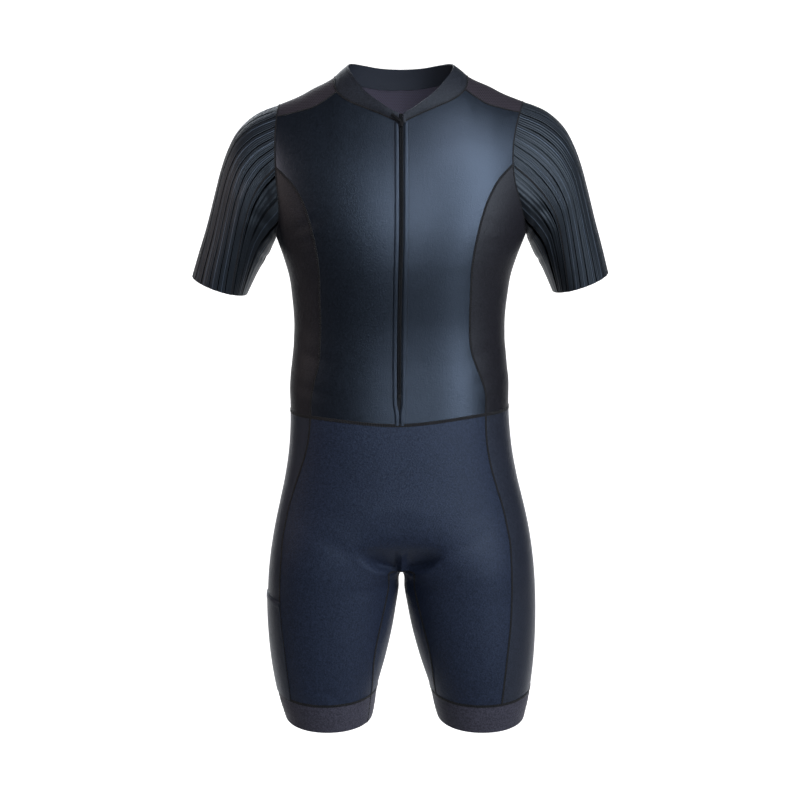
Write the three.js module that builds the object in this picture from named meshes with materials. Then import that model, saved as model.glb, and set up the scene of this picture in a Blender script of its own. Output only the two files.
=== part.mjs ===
// A short-sleeved triathlon suit, filled out as if worn, made of thin cloth walls that follow its cut pieces.
// Units are millimetres. +X is the wearer's left, -Y is the front, +Z is up.
// The origin lies between the shoulders, level with the points where the collar meets the shoulder line.
import * as THREE from 'three';
import { mergeVertices } from 'three/addons/utils/BufferGeometryUtils.js';

// Walls and seams
const PANEL_WALL = 1.2;
const COLLAR_WALL = 1.8;
const BAND_WALL = 1.6;
const SEAM_GAP = 0.3;
const LAYER_GAP = 0.3;

// Heights of the main seams and edges
const ARMPIT_Z = -216;
const WAIST_Z = -468;
const HIP_Z = -585;
const CROTCH_Z = -697;
const GUSSET_TOP_Z = -686;
const BAND_SEAM_Z = -869.5;
const HEM_Z = -913.5;

// Shape of the sections
const TORSO_POWER = 2.3;
const LEG_POWER = 2.1;
const LEG_FULLNESS = 0.98;
const SHOULDER_RISE_POWER = 2.6;
const RIDGE_Y = 8;
const CROTCH_ARCH_POWER = 2.5;
const CROTCH_BLEND_HALF = 70;

// The worn suit sits a little higher on the wearer's left shoulder, its waist seam rises to the sides,
// its front seams are pulled towards the wearer's right, and its leg hems dip at the front.
const SHOULDER_TILT = 0.018;
const SHOULDER_LIFT = 2.8;
const WAIST_RISE = 7.5;
const WAIST_RISE_HALF = 120;
const WAIST_TILT = 0.014;
const WAIST_REACH = 110;
const HEM_DIP = 0.115;
const SEAM_PULL = table(['z', 'pull'], [
  [-881, 11.4],
  [-800, 9.6],
  [-735, 9],
  [-665, 8],
  [-594, 8],
  [-540, 6.5],
  [-505, 4],
  [-468, 2.1],
  [-436, 1],
  [-414, 1.6],
  [-394, 2.8],
  [-366, 5.4],
  [-332, 6],
  [-255, 7],
  [-190, 8],
]);
const ARMHOLE_PULL = table(['z', 'pull'], [
  [-216, 0],
  [-190, 0],
  [-170, 2.5],
  [-140, 8],
  [-119, 9.8],
  [-64, 6.5],
  [-46, 2.8],
  [-35, 0],
]);

// How far the worn suit stands to the wearer's left of the middle at each height.
const SWAY = table(['z', 'shift'], [
  [-925, 5.5],
  [-880, 3.6],
  [-820, 1.8],
  [-733, 0.2],
  [-592, 0],
  [-522, -1.6],
  [-468, -2.8],
  [-340, -2.9],
  [-270, -1.8],
  [-216, -0.6],
  [-60, -0.8],
]);

// Half width and the depths of the front and back at each height. Above the armpit the half width
// runs out into the sleeve, which is what gives the armhole its depth.
const BODY = table(['z', 'half', 'front', 'back'], [
  [-925, 172, 67, 68],
  [-915, 174, 69, 70],
  [-881, 182, 77, 77],
  [-835, 189, 86, 86],
  [-775, 193, 95, 96],
  [-733, 193, 100, 104],
  [-703, 191.5, 104, 110],
  [-682, 189.5, 107, 114.5],
  [-633, 182, 111, 121],
  [-592, 173, 112, 122],
  [-560, 165.5, 111, 119.5],
  [-522, 158.5, 110, 114],
  [-468, 154.5, 108, 102],
  [-428, 154.5, 106, 94],
  [-380, 150, 105, 88],
  [-340, 148, 107, 90],
  [-301, 151, 112, 97],
  [-273, 155, 116, 102],
  [-246, 163, 119, 106],
  [-216, 174, 120, 109],
  [-180, 185, 118, 111],
  [-140, 195, 113, 112],
  [-100, 204, 106, 113],
  [-60, 210, 96, 114],
  [-20, 214, 86, 116],
  [20, 216, 80, 118],
]);

// Distance of each leg's inner edge from the middle.
const INSEAM = table(['z', 'x'], [
  [-925, 50.5],
  [-915, 47.5],
  [-871, 38.5],
  [-820, 23.5],
  [-775, 12.6],
  [-745, 7.3],
  [-725, 4],
  [-703, 2.6],
  [-697, 0],
]);

// Height of the shoulder line along the width.
const RIDGE = table(['x', 'z'], [
  [0, 14],
  [62, 9],
  [92.5, 0.4],
  [101, -4.3],
  [123, -14.4],
  [137, -22],
  [168.5, -35],
  [200, -48],
  [216, -58],
]);

// Seams, as the distance from the middle at each height.
const ARMHOLE = table(['z', 'x'], [
  [-216, 174],
  [-205, 171.5],
  [-190, 167.5],
  [-170, 164],
  [-119, 161],
  [-64, 164.7],
  [-47, 167],
  [-35, 168.5],
]);
const SIDE_SEAM = table(['z', 'x'], [
  [-881, 149.4],
  [-847, 152.5],
  [-800, 157.5],
  [-755, 162],
  [-710, 163],
  [-665, 161],
  [-638, 159],
  [-617, 155],
  [-594, 150],
  [-561, 140],
  [-537, 132],
  [-505, 124],
  [-468, 121],
  [-436, 120],
  [-414, 115],
  [-394, 109],
  [-366, 103.5],
  [-332, 102],
  [-290, 102.7],
  [-255, 103.6],
  [-221, 108.6],
  [-190, 116],
  [-160, 127],
  [-137, 142],
  [-119, 161],
]);
const INNER_SEAM = table(['z', 'x'], [
  [-881, 49],
  [-871, 47],
  [-803, 39.5],
  [-759, 29.5],
  [-732, 23],
  [-710, 18.5],
  [-686, 18],
]);
const YOKE_SEAM = table(['x', 'z'], [
  [87, -17.5],
  [100, -27],
  [114, -36],
  [141, -44.5],
  [160, -49],
  [167, -50],
]);

// Neckline seen from above: half width, how far it reaches at the middle, how much of that it loses
// for each millimetre to the side, which gives the front its V, and how squarely it turns at the shoulder.
const NECK_HALF = 92.5;
const NECK = {
  front: { reach: 77.8, slope: 0.295, power: 5 },
  back: { reach: 65, slope: 0, power: 2.2 },
};
const YOKE_NECK_X = 87;

// The collar's top edge: its half width and reach seen from above, and its height by angle from the front.
const COLLAR_HALF = 73;
const COLLAR_MID_Y = 5;
const COLLAR_FRONT = 73;
const COLLAR_BACK = 59;
const COLLAR_TOP = table(['angle', 'z'], [
  [0, -49],
  [11, -42.5],
  [24, -32],
  [40, -18.8],
  [57, -2.8],
  [75, 10],
  [90, 16],
  [108, 18.6],
  [137, 16.2],
  [152, 13.4],
  [166, 11.8],
  [180, 11.2],
]);

// Sleeve outlines seen from the front, from the armhole to the cuff.
const SLEEVE_OUTER = [
  [168.5, -35],
  [204, -51],
  [227, -73],
  [239, -95],
  [249, -121.5],
  [258, -153],
  [270, -198],
  [283, -241],
  [292, -272],
];
const SLEEVE_INNER = [
  [174, -216],
  [183, -237],
  [200, -266.5],
  [215.5, -299],
];
const SLEEVE_DEPTH = table(['share', 'half'], [
  [0, 61],
  [0.3, 62],
  [0.6, 55],
  [1, 46],
]);
const SLEEVE_BACK_SWING = 10;
const CUFF_DIP = 4;
const CUFF_UNDER_ANGLE = 122;
const ARMHOLE_BLEND = 0.45;
const RIB_COUNT = 16;
const RIB_HEIGHT = 0.8;
const RIB_GROOVE_SHARE = 0.14;

// Zip
const ZIP_EDGE = 3;
const ZIP_CLOSED_EDGE = 0.4;
const ZIP_STOP_Z = -426;
const ZIP_STOP_HEIGHT = 6;
const ZIP_TAPE_HALF = 11;
const ZIP_TAPE_WALL = 0.8;
const ZIP_CHAIN_HALF = 2.7;
const ZIP_CHAIN_RISE = 0.6;
const SLIDER_Z = -63;
const SLIDER = { width: 7, length: 9, height: 2.4 };
const PULL_TAB = { width: 4.4, length: 17, thick: 1.1, lean: 48, hingeUp: 2 };

// Pocket on the wearer's right leg
const POCKET_TOP_Z = -729;
const POCKET_WALL = 1;

// Colours
const COLOURS = {
  satin: 0x2c3442,
  matte: 0x262d3b,
  mesh: 0x322e38,
  side: 0x24252d,
  ribbed: 0x262d36,
  band: 0x2d2a31,
  zip: 0x1b1c20,
};

function table(columns, rows) {
  return { columns, rows };
}

// A smooth curve through two columns of a table.
function curve(data, from, to) {
  const a = data.columns.indexOf(from);
  const b = data.columns.indexOf(to);
  const xs = data.rows.map((row) => row[a]);
  const ys = data.rows.map((row) => row[b]);
  const last = xs.length - 1;
  const secant = xs.slice(1).map((x, i) => (ys[i + 1] - ys[i]) / (x - xs[i]));
  const slope = xs.map((_, i) => {
    if (i === 0) return secant[0];
    if (i === last) return secant[last - 1];
    const before = xs[i] - xs[i - 1];
    const after = xs[i + 1] - xs[i];
    return (after * secant[i - 1] + before * secant[i]) / (before + after);
  });
  return (x) => {
    if (x <= xs[0]) return ys[0];
    if (x >= xs[last]) return ys[last];
    let i = 0;
    while (x > xs[i + 1]) i += 1;
    const width = xs[i + 1] - xs[i];
    const t = (x - xs[i]) / width;
    const u = 1 - t;
    return (
      ys[i] * u * u * (1 + 2 * t) +
      ys[i + 1] * t * t * (3 - 2 * t) +
      width * t * u * (slope[i] * u - slope[i + 1] * t)
    );
  };
}

const halfAt = curve(BODY, 'z', 'half');
const depthAt = { front: curve(BODY, 'z', 'front'), back: curve(BODY, 'z', 'back') };
const inseamAt = curve(INSEAM, 'z', 'x');
const ridgeAt = curve(RIDGE, 'x', 'z');
const armholeAt = curve(ARMHOLE, 'z', 'x');
const sideSeamAt = curve(SIDE_SEAM, 'z', 'x');
const innerSeamAt = curve(INNER_SEAM, 'z', 'x');
const yokeSeamAt = curve(YOKE_SEAM, 'x', 'z');
const collarTopAt = curve(COLLAR_TOP, 'angle', 'z');
const sleeveDepthAt = curve(SLEEVE_DEPTH, 'share', 'half');
const swayAt = curve(SWAY, 'z', 'shift');
const seamPullAt = curve(SEAM_PULL, 'z', 'pull');
const armholePullAt = curve(ARMHOLE_PULL, 'z', 'pull');

const clamp01 = (t) => Math.min(1, Math.max(0, t));
const smooth = (t) => clamp01(t) ** 2 * (3 - 2 * clamp01(t));
const mix = (a, b, t) => a + (b - a) * t;
const oval = (share, power) => Math.max(0, 1 - Math.abs(share) ** power) ** (1 / power);
const steps = (count) => Array.from({ length: count + 1 }, (_, i) => i / count);

// Body surface

const inseam = (z) => (z >= CROTCH_Z ? 0 : inseamAt(z));
const middleY = (z) => RIDGE_Y * smooth((z - ARMPIT_Z) / -ARMPIT_Z);

// How far the cloth stands in front of, or behind, the side line at a place.
function depth(face, x, z) {
  const half = halfAt(z);
  const reach = depthAt[face](z);
  let torso = reach * oval(x / half, TORSO_POWER);
  if (z > ARMPIT_Z) {
    const rise = (z - ARMPIT_Z) / (ridgeAt(Math.abs(x)) - ARMPIT_Z);
    torso *= Math.sqrt(Math.max(0, 1 - rise ** SHOULDER_RISE_POWER));
  }
  if (z >= HIP_Z) return torso;
  const inner = inseam(z);
  const middle = (half + inner) / 2;
  const leg = LEG_FULLNESS * reach * oval((Math.abs(x) - middle) / (half - middle), LEG_POWER);
  if (z < CROTCH_Z) return leg;
  const rise = (z - CROTCH_Z) / (HIP_Z - CROTCH_Z);
  const arch = oval(1 - rise, CROTCH_ARCH_POWER);
  const share = mix(arch, smooth(rise), smooth(Math.abs(x) / CROTCH_BLEND_HALF));
  return mix(leg, torso, share);
}

const tilt = (x) => SHOULDER_LIFT * Math.tanh((SHOULDER_TILT * x) / SHOULDER_LIFT);

// How much the cloth near the waist seam is pulled up at a distance from the middle.
const waistRise = (x) => WAIST_RISE * smooth(Math.abs(x) / WAIST_RISE_HALF) + WAIST_TILT * x;

// Moves a point as the wearer carries the suit.
function settle(p) {
  const upper = smooth((p.z - HIP_Z) / (ARMPIT_Z - HIP_Z)) * (1 - smooth((p.z + 20) / 40));
  const waist = smooth(1 - Math.abs(p.z - WAIST_Z) / WAIST_REACH);
  const lower = smooth((CROTCH_Z - p.z) / (CROTCH_Z - BAND_SEAM_Z));
  const sway = swayAt(p.z);
  p.z += tilt(p.x) * upper + waistRise(p.x) * waist + HEM_DIP * p.y * lower;
  p.x += sway;
  return p;
}

// A place on the body is a turn, 0 at the front middle, 1 at the side and 2 at the back middle, and a height.
const faceOf = (turn) => (turn <= 1 ? 'front' : 'back');
const widthAt = (turn, z) => inseam(z) + (halfAt(z) - inseam(z)) * Math.sin((Math.PI / 2) * turn);

function turnAt(x, z, face = 'front') {
  const share = Math.min(1, (x - inseam(z)) / (halfAt(z) - inseam(z)));
  const turn = Math.asin(share) / (Math.PI / 2);
  return face === 'front' ? turn : 2 - turn;
}

function bodyPoint(side, turn, z) {
  const face = faceOf(turn);
  const x = widthAt(turn, z);
  const away = depth(face, x, z);
  const y = middleY(z) + (face === 'front' ? -away : away);
  return settle(new THREE.Vector3(side * x, y, z));
}

const PROBE = 0.5;

function faceNormal(face, side, x, z) {
  const sign = face === 'front' ? -1 : 1;
  const y = (px, pz) => middleY(pz) + sign * depth(face, px, pz);
  const alongX = (y(x + PROBE, z) - y(x - PROBE, z)) / (2 * PROBE);
  const alongZ = (y(x, z + PROBE) - y(x, z - PROBE)) / (2 * PROBE);
  return new THREE.Vector3(-sign * side * alongX, sign, -sign * alongZ).normalize();
}

function bodyNormal(side, turn, z) {
  const face = faceOf(turn);
  const x = widthAt(turn, z);
  if (depth(face, x, z) > PROBE) return faceNormal(face, side, x, z);
  return faceNormal('front', side, x, z).add(faceNormal('back', side, x, z)).normalize();
}

function bodyPlace(side, [turn, z]) {
  return { point: bodyPoint(side, turn, z), normal: bodyNormal(side, turn, z) };
}

// Patches

// Fills the space between four rows of places: bottom and top run left to right, left and right run upwards.
function patch(bottom, top, left, right) {
  const columns = bottom.length - 1;
  const rows = left.length - 1;
  return left.map((start, j) =>
    bottom.map((foot, i) => {
      const s = i / columns;
      const t = j / rows;
      return [0, 1].map(
        (k) =>
          mix(foot[k], top[i][k], t) +
          mix(start[k], right[j][k], s) -
          mix(mix(bottom[0][k], bottom[columns][k], s), mix(top[0][k], top[columns][k], s), t),
      );
    }),
  );
}

const places = (side, grid) => grid.map((row) => row.map((at) => bodyPlace(side, at)));

// Joins grids of places into one open surface. Points that coincide become one.
function surface(grids) {
  const points = [];
  const normals = [];
  const triangles = [];
  const known = new Map();
  const indexOf = ({ point, normal }) => {
    const key = point.toArray().map((v) => Math.round(v * 500)).join();
    if (!known.has(key)) {
      known.set(key, points.length);
      points.push(point.clone());
      normals.push(normal.clone());
    } else {
      normals[known.get(key)].add(normal);
    }
    return known.get(key);
  };
  for (const grid of grids) {
    const index = grid.map((row) => row.map(indexOf));
    const made = [];
    let facing = 0;
    for (let j = 0; j + 1 < index.length; j += 1) {
      for (let i = 0; i + 1 < index[j].length; i += 1) {
        const [a, b, c, d] = [index[j][i], index[j][i + 1], index[j + 1][i + 1], index[j + 1][i]];
        const short = points[a].distanceTo(points[c]) <= points[b].distanceTo(points[d]);
        const pair = short ? [[a, b, c], [a, c, d]] : [[a, b, d], [b, c, d]];
        for (const [p, q, r] of pair.filter((t) => new Set(t).size === 3)) {
          made.push([p, q, r]);
          const across = points[q].clone().sub(points[p]).cross(points[r].clone().sub(points[p]));
          facing += across.dot(normals[p].clone().normalize());
        }
      }
    }
    triangles.push(...(facing < 0 ? made.map(([p, q, r]) => [p, r, q]) : made));
  }
  normals.forEach((n) => n.normalize());
  return { points, normals, triangles };
}

// The surface's outer edges, each in the order in which its triangle runs.
function rim(triangles) {
  const edges = new Map();
  for (const [a, b, c] of triangles) {
    for (const [p, q] of [[a, b], [b, c], [c, a]]) edges.set(p + ',' + q, [p, q]);
  }
  return [...edges.values()].filter(([p, q]) => !edges.has(q + ',' + p));
}

// Draws the rim in by half the seam gap, along the surface.
function drawIn({ points, normals, triangles }, gap) {
  const inward = new Map();
  for (const [p, q] of rim(triangles)) {
    const along = points[q].clone().sub(points[p]).normalize();
    for (const i of [p, q]) {
      const way = normals[i].clone().cross(along).normalize();
      if (inward.has(i)) inward.get(i).push(way);
      else inward.set(i, [way]);
    }
  }
  for (const [i, ways] of inward) {
    const [first, second = first] = ways;
    const miter = first.clone().add(second);
    miter.multiplyScalar(gap / Math.max(0.6, 1 + first.dot(second)));
    points[i].add(miter);
  }
}

// A closed wall: outer face at outer(i) along the normal, inner face at inner.
function wall(open, { outer = () => 0, inner }) {
  const { points, normals, triangles } = open;
  const count = points.length;
  const position = new Float32Array(count * 6);
  points.forEach((point, i) => {
    point.clone().addScaledVector(normals[i], outer(i)).toArray(position, i * 3);
    point.clone().addScaledVector(normals[i], inner).toArray(position, (count + i) * 3);
  });
  const faces = [];
  for (const [a, b, c] of triangles) {
    faces.push(a, b, c, count + c, count + b, count + a);
  }
  for (const [p, q] of rim(triangles)) {
    faces.push(q, p, count + p, q, count + p, count + q);
  }
  const geometry = new THREE.BufferGeometry();
  geometry.setAttribute('position', new THREE.BufferAttribute(position, 3));
  geometry.setIndex(faces);
  return geometry;
}

function panel(grids, thickness = PANEL_WALL) {
  const open = surface(grids);
  drawIn(open, SEAM_GAP / 2);
  return wall(open, { inner: -thickness });
}

// Seam lines, each a row of places shared by the pieces on both sides of it

const PRINCESS_ROWS = 11;
const ARMHOLE_ROWS = 5;
const YOKE_ROWS = 3;
const BACK_ROWS = 8;
const NECK_COLUMNS = 4;
const YOKE_COLUMNS = 4;
const SIDE_COLUMNS = 8;
const GUSSET_COLUMNS = 3;
const LEG_ROWS = 7;
const INSEAM_ROWS = 5;
const POCKET_ROWS = 7;
const ARMHOLE_JOIN_Z = -119;
const YOKE_ARMHOLE_Z = -50;
const TIP_Z = ridgeAt(armholeAt(-35));
const CENTRE_ROW_Z = [GUSSET_TOP_Z, -684, -673, -655, -630, -602, -570, -535, -500, WAIST_Z];
const FRONT_JOIN_Z = -140;
const BACK_JOIN_Z = -112;

const frontSeam = (side) => (z) => {
  const pull = mix(armholePullAt(ARMHOLE_JOIN_Z), seamPullAt(z), smooth((ARMHOLE_JOIN_Z - z) / 45));
  return [turnAt(sideSeamAt(z) - side * pull, z), z];
};
const backSeam = (z) => [turnAt(sideSeamAt(z), z, 'back'), z];
const heights = (low, high, count) => steps(count).map((t) => mix(low, high, t));
const armholeX = (side, face, z) => armholeAt(z) - (face === 'front' ? side * armholePullAt(z) : 0);
const armholePlace = (side, face) => (z) => [turnAt(armholeX(side, face, z), z, face), z];

// The height at which the body's surface stands a given distance from the middle, near the neck.
function neckHeight(face, x, away) {
  let low = -110;
  let high = ridgeAt(x);
  for (let i = 0; i < 40; i += 1) {
    const middle = (low + high) / 2;
    if (depth(face, x, middle) > away) low = middle;
    else high = middle;
  }
  return low;
}

function neckPlace(face, x) {
  const { reach, slope, power } = NECK[face];
  const z = neckHeight(face, x, (reach - slope * x) * oval(x / NECK_HALF, power));
  return [turnAt(x, z, face), z];
}

const neckFrontRow = [ZIP_EDGE, ZIP_TAPE_HALF, 36, 62, YOKE_NECK_X].map((x) => neckPlace('front', x));
const neckYokeRow = [YOKE_NECK_X, 90.6, 92.3, NECK_HALF].map((x) => neckPlace('front', x));
const neckBackRow = [0, 38, 66, 85, NECK_HALF].map((x) => neckPlace('back', x));
const yokeRow = (side) =>
  steps(YOKE_COLUMNS).map((s) => {
    const x = mix(YOKE_NECK_X, armholeX(side, 'front', YOKE_ARMHOLE_Z), s);
    if (s === 0) return neckFrontRow[NECK_COLUMNS];
    const z = s === 1 ? YOKE_ARMHOLE_Z : yokeSeamAt(x);
    return [turnAt(x, z), z];
  });
const ridgeRow = (face) =>
  steps(YOKE_COLUMNS).map((s) => {
    const x = mix(NECK_HALF, armholeAt(TIP_Z), s);
    const z = ridgeAt(x);
    return [turnAt(x, z, face), z];
  });
const closing = (power, count) => steps(count).map((t) => 1 - (1 - t) ** power);
const yokeArmhole = (side) =>
  closing(2, YOKE_ROWS).map((t) => mix(YOKE_ARMHOLE_Z, TIP_Z, t)).map(armholePlace(side, 'front'));
const frontArmhole = (side) =>
  heights(ARMHOLE_JOIN_Z, YOKE_ARMHOLE_Z, ARMHOLE_ROWS).map(armholePlace(side, 'front'));
const backArmhole = closing(1.8, BACK_ROWS)
  .map((t) => mix(ARMHOLE_JOIN_Z, TIP_Z, t))
  .map(armholePlace(1, 'back'));
const underArmhole = (side) =>
  steps(SIDE_COLUMNS).map((t) => {
    const z = mix(ARMPIT_Z, ARMHOLE_JOIN_Z, Math.abs(Math.cos(Math.PI * t)) ** 1.5);
    return armholePlace(side, t <= 0.5 ? 'front' : 'back')(z);
  });

const waistHeights = heights(WAIST_Z, ARMHOLE_JOIN_Z, PRINCESS_ROWS);
const frontColumns = NECK_COLUMNS + YOKE_COLUMNS;
const across = (from, to, count, z) => heights(from, to, count).map((turn) => [turn, z]);
const waistFront = (side) => across(0, frontSeam(side)(WAIST_Z)[0], frontColumns, WAIST_Z);
const waistSide = (side) => across(frontSeam(side)(WAIST_Z)[0], backSeam(WAIST_Z)[0], SIDE_COLUMNS, WAIST_Z);
const waistBack = across(2, backSeam(WAIST_Z)[0], frontColumns, WAIST_Z);
const bandInner = turnAt(innerSeamAt(BAND_SEAM_Z), BAND_SEAM_Z);
const bandFrontSeam = (side) => frontSeam(side)(BAND_SEAM_Z)[0];
const bandBackSeam = backSeam(BAND_SEAM_Z)[0];
const bandFront = (side) => across(bandInner, bandFrontSeam(side), frontColumns, BAND_SEAM_Z);
const bandSide = (side) => across(bandFrontSeam(side), bandBackSeam, SIDE_COLUMNS, BAND_SEAM_Z);
const bandBack = across(2 - bandInner, bandBackSeam, frontColumns, BAND_SEAM_Z);

// Upper body

const zipEdge = (z) => mix(ZIP_CLOSED_EDGE, ZIP_EDGE, smooth((z - ZIP_STOP_Z + 28) / 18));

// The heights of a line from the waist to the neckline, beside the zip.
const zipHeights = (top) =>
  heights(WAIST_Z, FRONT_JOIN_Z, PRINCESS_ROWS).concat(heights(FRONT_JOIN_Z, top, ARMHOLE_ROWS).slice(1));
const zipLine = zipHeights(neckFrontRow[0][1]);
const tapeLine = zipHeights(neckFrontRow[1][1]);

function frontPanel(side) {
  const lip = zipLine.map((z, i) => [
    [turnAt(zipEdge(z), z), z],
    [turnAt(ZIP_TAPE_HALF, tapeLine[i]), tapeLine[i]],
  ]);
  const left = lip.map((row) => row[1]);
  const right = waistHeights.map(frontSeam(side)).concat(frontArmhole(side).slice(1));
  const top = neckFrontRow.slice(1).concat(yokeRow(side).slice(1));
  const bottom = across(left[0][0], right[0][0], top.length - 1, WAIST_Z);
  return panel([places(side, lip), places(side, patch(bottom, top, left, right))]);
}

function sidePanel(side) {
  const left = waistHeights.map(frontSeam(side));
  const right = waistHeights.map(backSeam);
  return panel([places(side, patch(waistSide(side), underArmhole(side), left, right))]);
}

function backGrids(side) {
  const left = [...heights(WAIST_Z, BACK_JOIN_Z, PRINCESS_ROWS)]
    .concat(closing(1.8, BACK_ROWS).slice(1).map((t) => mix(BACK_JOIN_Z, neckBackRow[0][1], t)))
    .map((z) => [2, z]);
  const right = waistHeights.map(backSeam).concat(backArmhole.slice(1));
  const top = neckBackRow.concat(ridgeRow('back').slice(1));
  const back = patch(waistBack, top, left, right);
  const yoke = patch(yokeRow(side), ridgeRow('front'), neckYokeRow, yokeArmhole(side));
  return [places(side, back), places(side, yoke)];
}

// Legs

const innerSeam = (face) => (z) => [turnAt(innerSeamAt(z), z, face), z];
const legHeights = heights(BAND_SEAM_Z, GUSSET_TOP_Z, LEG_ROWS);
const lowerRows = LEG_ROWS + GUSSET_COLUMNS - 1 + CENTRE_ROW_Z.length;
const sideHeights = heights(BAND_SEAM_Z, POCKET_TOP_Z, POCKET_ROWS).concat(
  heights(POCKET_TOP_Z, WAIST_Z, lowerRows - POCKET_ROWS).slice(1),
);

function lowerGrid(side, face) {
  const front = face === 'front';
  const middle = front ? 0 : 2;
  const left = legHeights
    .map(innerSeam(face))
    .concat(gussetRow(face, GUSSET_TOP_Z).reverse().slice(1, -1))
    .concat(CENTRE_ROW_Z.map((z) => [middle, z]));
  const right = sideHeights.map(front ? frontSeam(side) : backSeam);
  const top = front ? waistFront(side) : waistBack;
  const bottom = front ? bandFront(side) : bandBack;
  return places(side, patch(bottom, top, left, right));
}

function legSideGrid(side) {
  const left = sideHeights.map(frontSeam(side));
  const right = sideHeights.map(backSeam);
  return places(side, patch(bandSide(side), waistSide(side), left, right));
}

// From the inside of the leg to the inner seam, at one height.
function gussetRow(face, z) {
  const [outer] = innerSeam(face)(z);
  const middle = face === 'front' ? 0 : 2;
  return steps(GUSSET_COLUMNS).map((s) => [mix(middle, outer, s * s), z]);
}

function gussetGrid(side, face) {
  const inside = heights(BAND_SEAM_Z, CROTCH_Z, INSEAM_ROWS).concat([CROTCH_Z + 3, GUSSET_TOP_Z]);
  const grid = legHeights.map((z, j) =>
    gussetRow(face, z).map(([turn], i) => [turn, mix(inside[j], z, i / GUSSET_COLUMNS)]),
  );
  return places(side, grid);
}

// A leg band hangs from the band seam's own points.
function bandGrid(side) {
  const ring = gussetRow('front', BAND_SEAM_Z).concat(
    bandFront(side).slice(1),
    bandSide(side).slice(1),
    [...bandBack].reverse().slice(1),
    gussetRow('back', BAND_SEAM_Z).reverse().slice(1),
  );
  return steps(2).map((t) => ring.map(([turn]) => bodyPlace(side, [turn, mix(HEM_Z, BAND_SEAM_Z, t)])));
}

// The pocket lies on the lower part of the leg's side panel and is made from its points.
function pocket(side) {
  const open = surface([legSideGrid(side).slice(0, POCKET_ROWS + 1)]);
  drawIn(open, SEAM_GAP / 2);
  return wall(open, { outer: () => LAYER_GAP + POCKET_WALL, inner: LAYER_GAP });
}

// Collar

function collarGrid() {
  const half = neckFrontRow.concat(neckYokeRow.slice(1), [...neckBackRow].reverse().slice(1));
  const base = half.map((at) => bodyPlace(1, at).point);
  const far = [0];
  base.slice(1).forEach((p, i) => far.push(far[i] + p.distanceTo(base[i])));
  const sideIndex = NECK_COLUMNS + YOKE_ROWS;
  const end = far.length - 1;
  const angleOf = (i) =>
    i <= sideIndex
      ? (90 * far[i]) / far[sideIndex]
      : 90 + (90 * (far[i] - far[sideIndex])) / (far[end] - far[sideIndex]);
  const columns = (side) =>
    half.map((at, i) => {
      const angle = THREE.MathUtils.degToRad(angleOf(i));
      const reach = angle < Math.PI / 2 ? COLLAR_FRONT : COLLAR_BACK;
      const x = Math.max(i === end ? 0 : ZIP_EDGE, COLLAR_HALF * Math.sin(angle));
      const top = settle(
        new THREE.Vector3(side * x, COLLAR_MID_Y - reach * Math.cos(angle), collarTopAt(angleOf(i))),
      );
      return [bodyPlace(side, at).point, top];
    });
  const all = [...columns(1)].concat(columns(-1).reverse().slice(1));
  const grid = steps(2).map((t) => all.map(([low, high]) => low.clone().lerp(high, t)));
  return grid.map((row) =>
    row.map((point, i) => {
      const before = row[Math.max(0, i - 1)];
      const after = row[Math.min(row.length - 1, i + 1)];
      const up = all[i][1].clone().sub(all[i][0]);
      return { point, normal: after.clone().sub(before).cross(up).normalize() };
    }),
  );
}

// Sleeves

function along(outline, share) {
  const path = new THREE.CatmullRomCurve3(
    outline.map(([x, z]) => new THREE.Vector3(x, 0, z)),
    false,
    'centripetal',
  );
  return path.getPointAt(share);
}

// The armhole as a closed loop, from the front join over the shoulder to the back join and under the arm.
function armholeLoop(side) {
  const over = frontArmhole(side)
    .concat(yokeArmhole(side).slice(1))
    .concat([...backArmhole].reverse().slice(1));
  const under = underArmhole(side).reverse().slice(1);
  return over.concat(under).map(([turn, z]) => bodyPoint(side, turn, z));
}

const OVER_STEPS = ARMHOLE_ROWS + YOKE_ROWS + BACK_ROWS;

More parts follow.
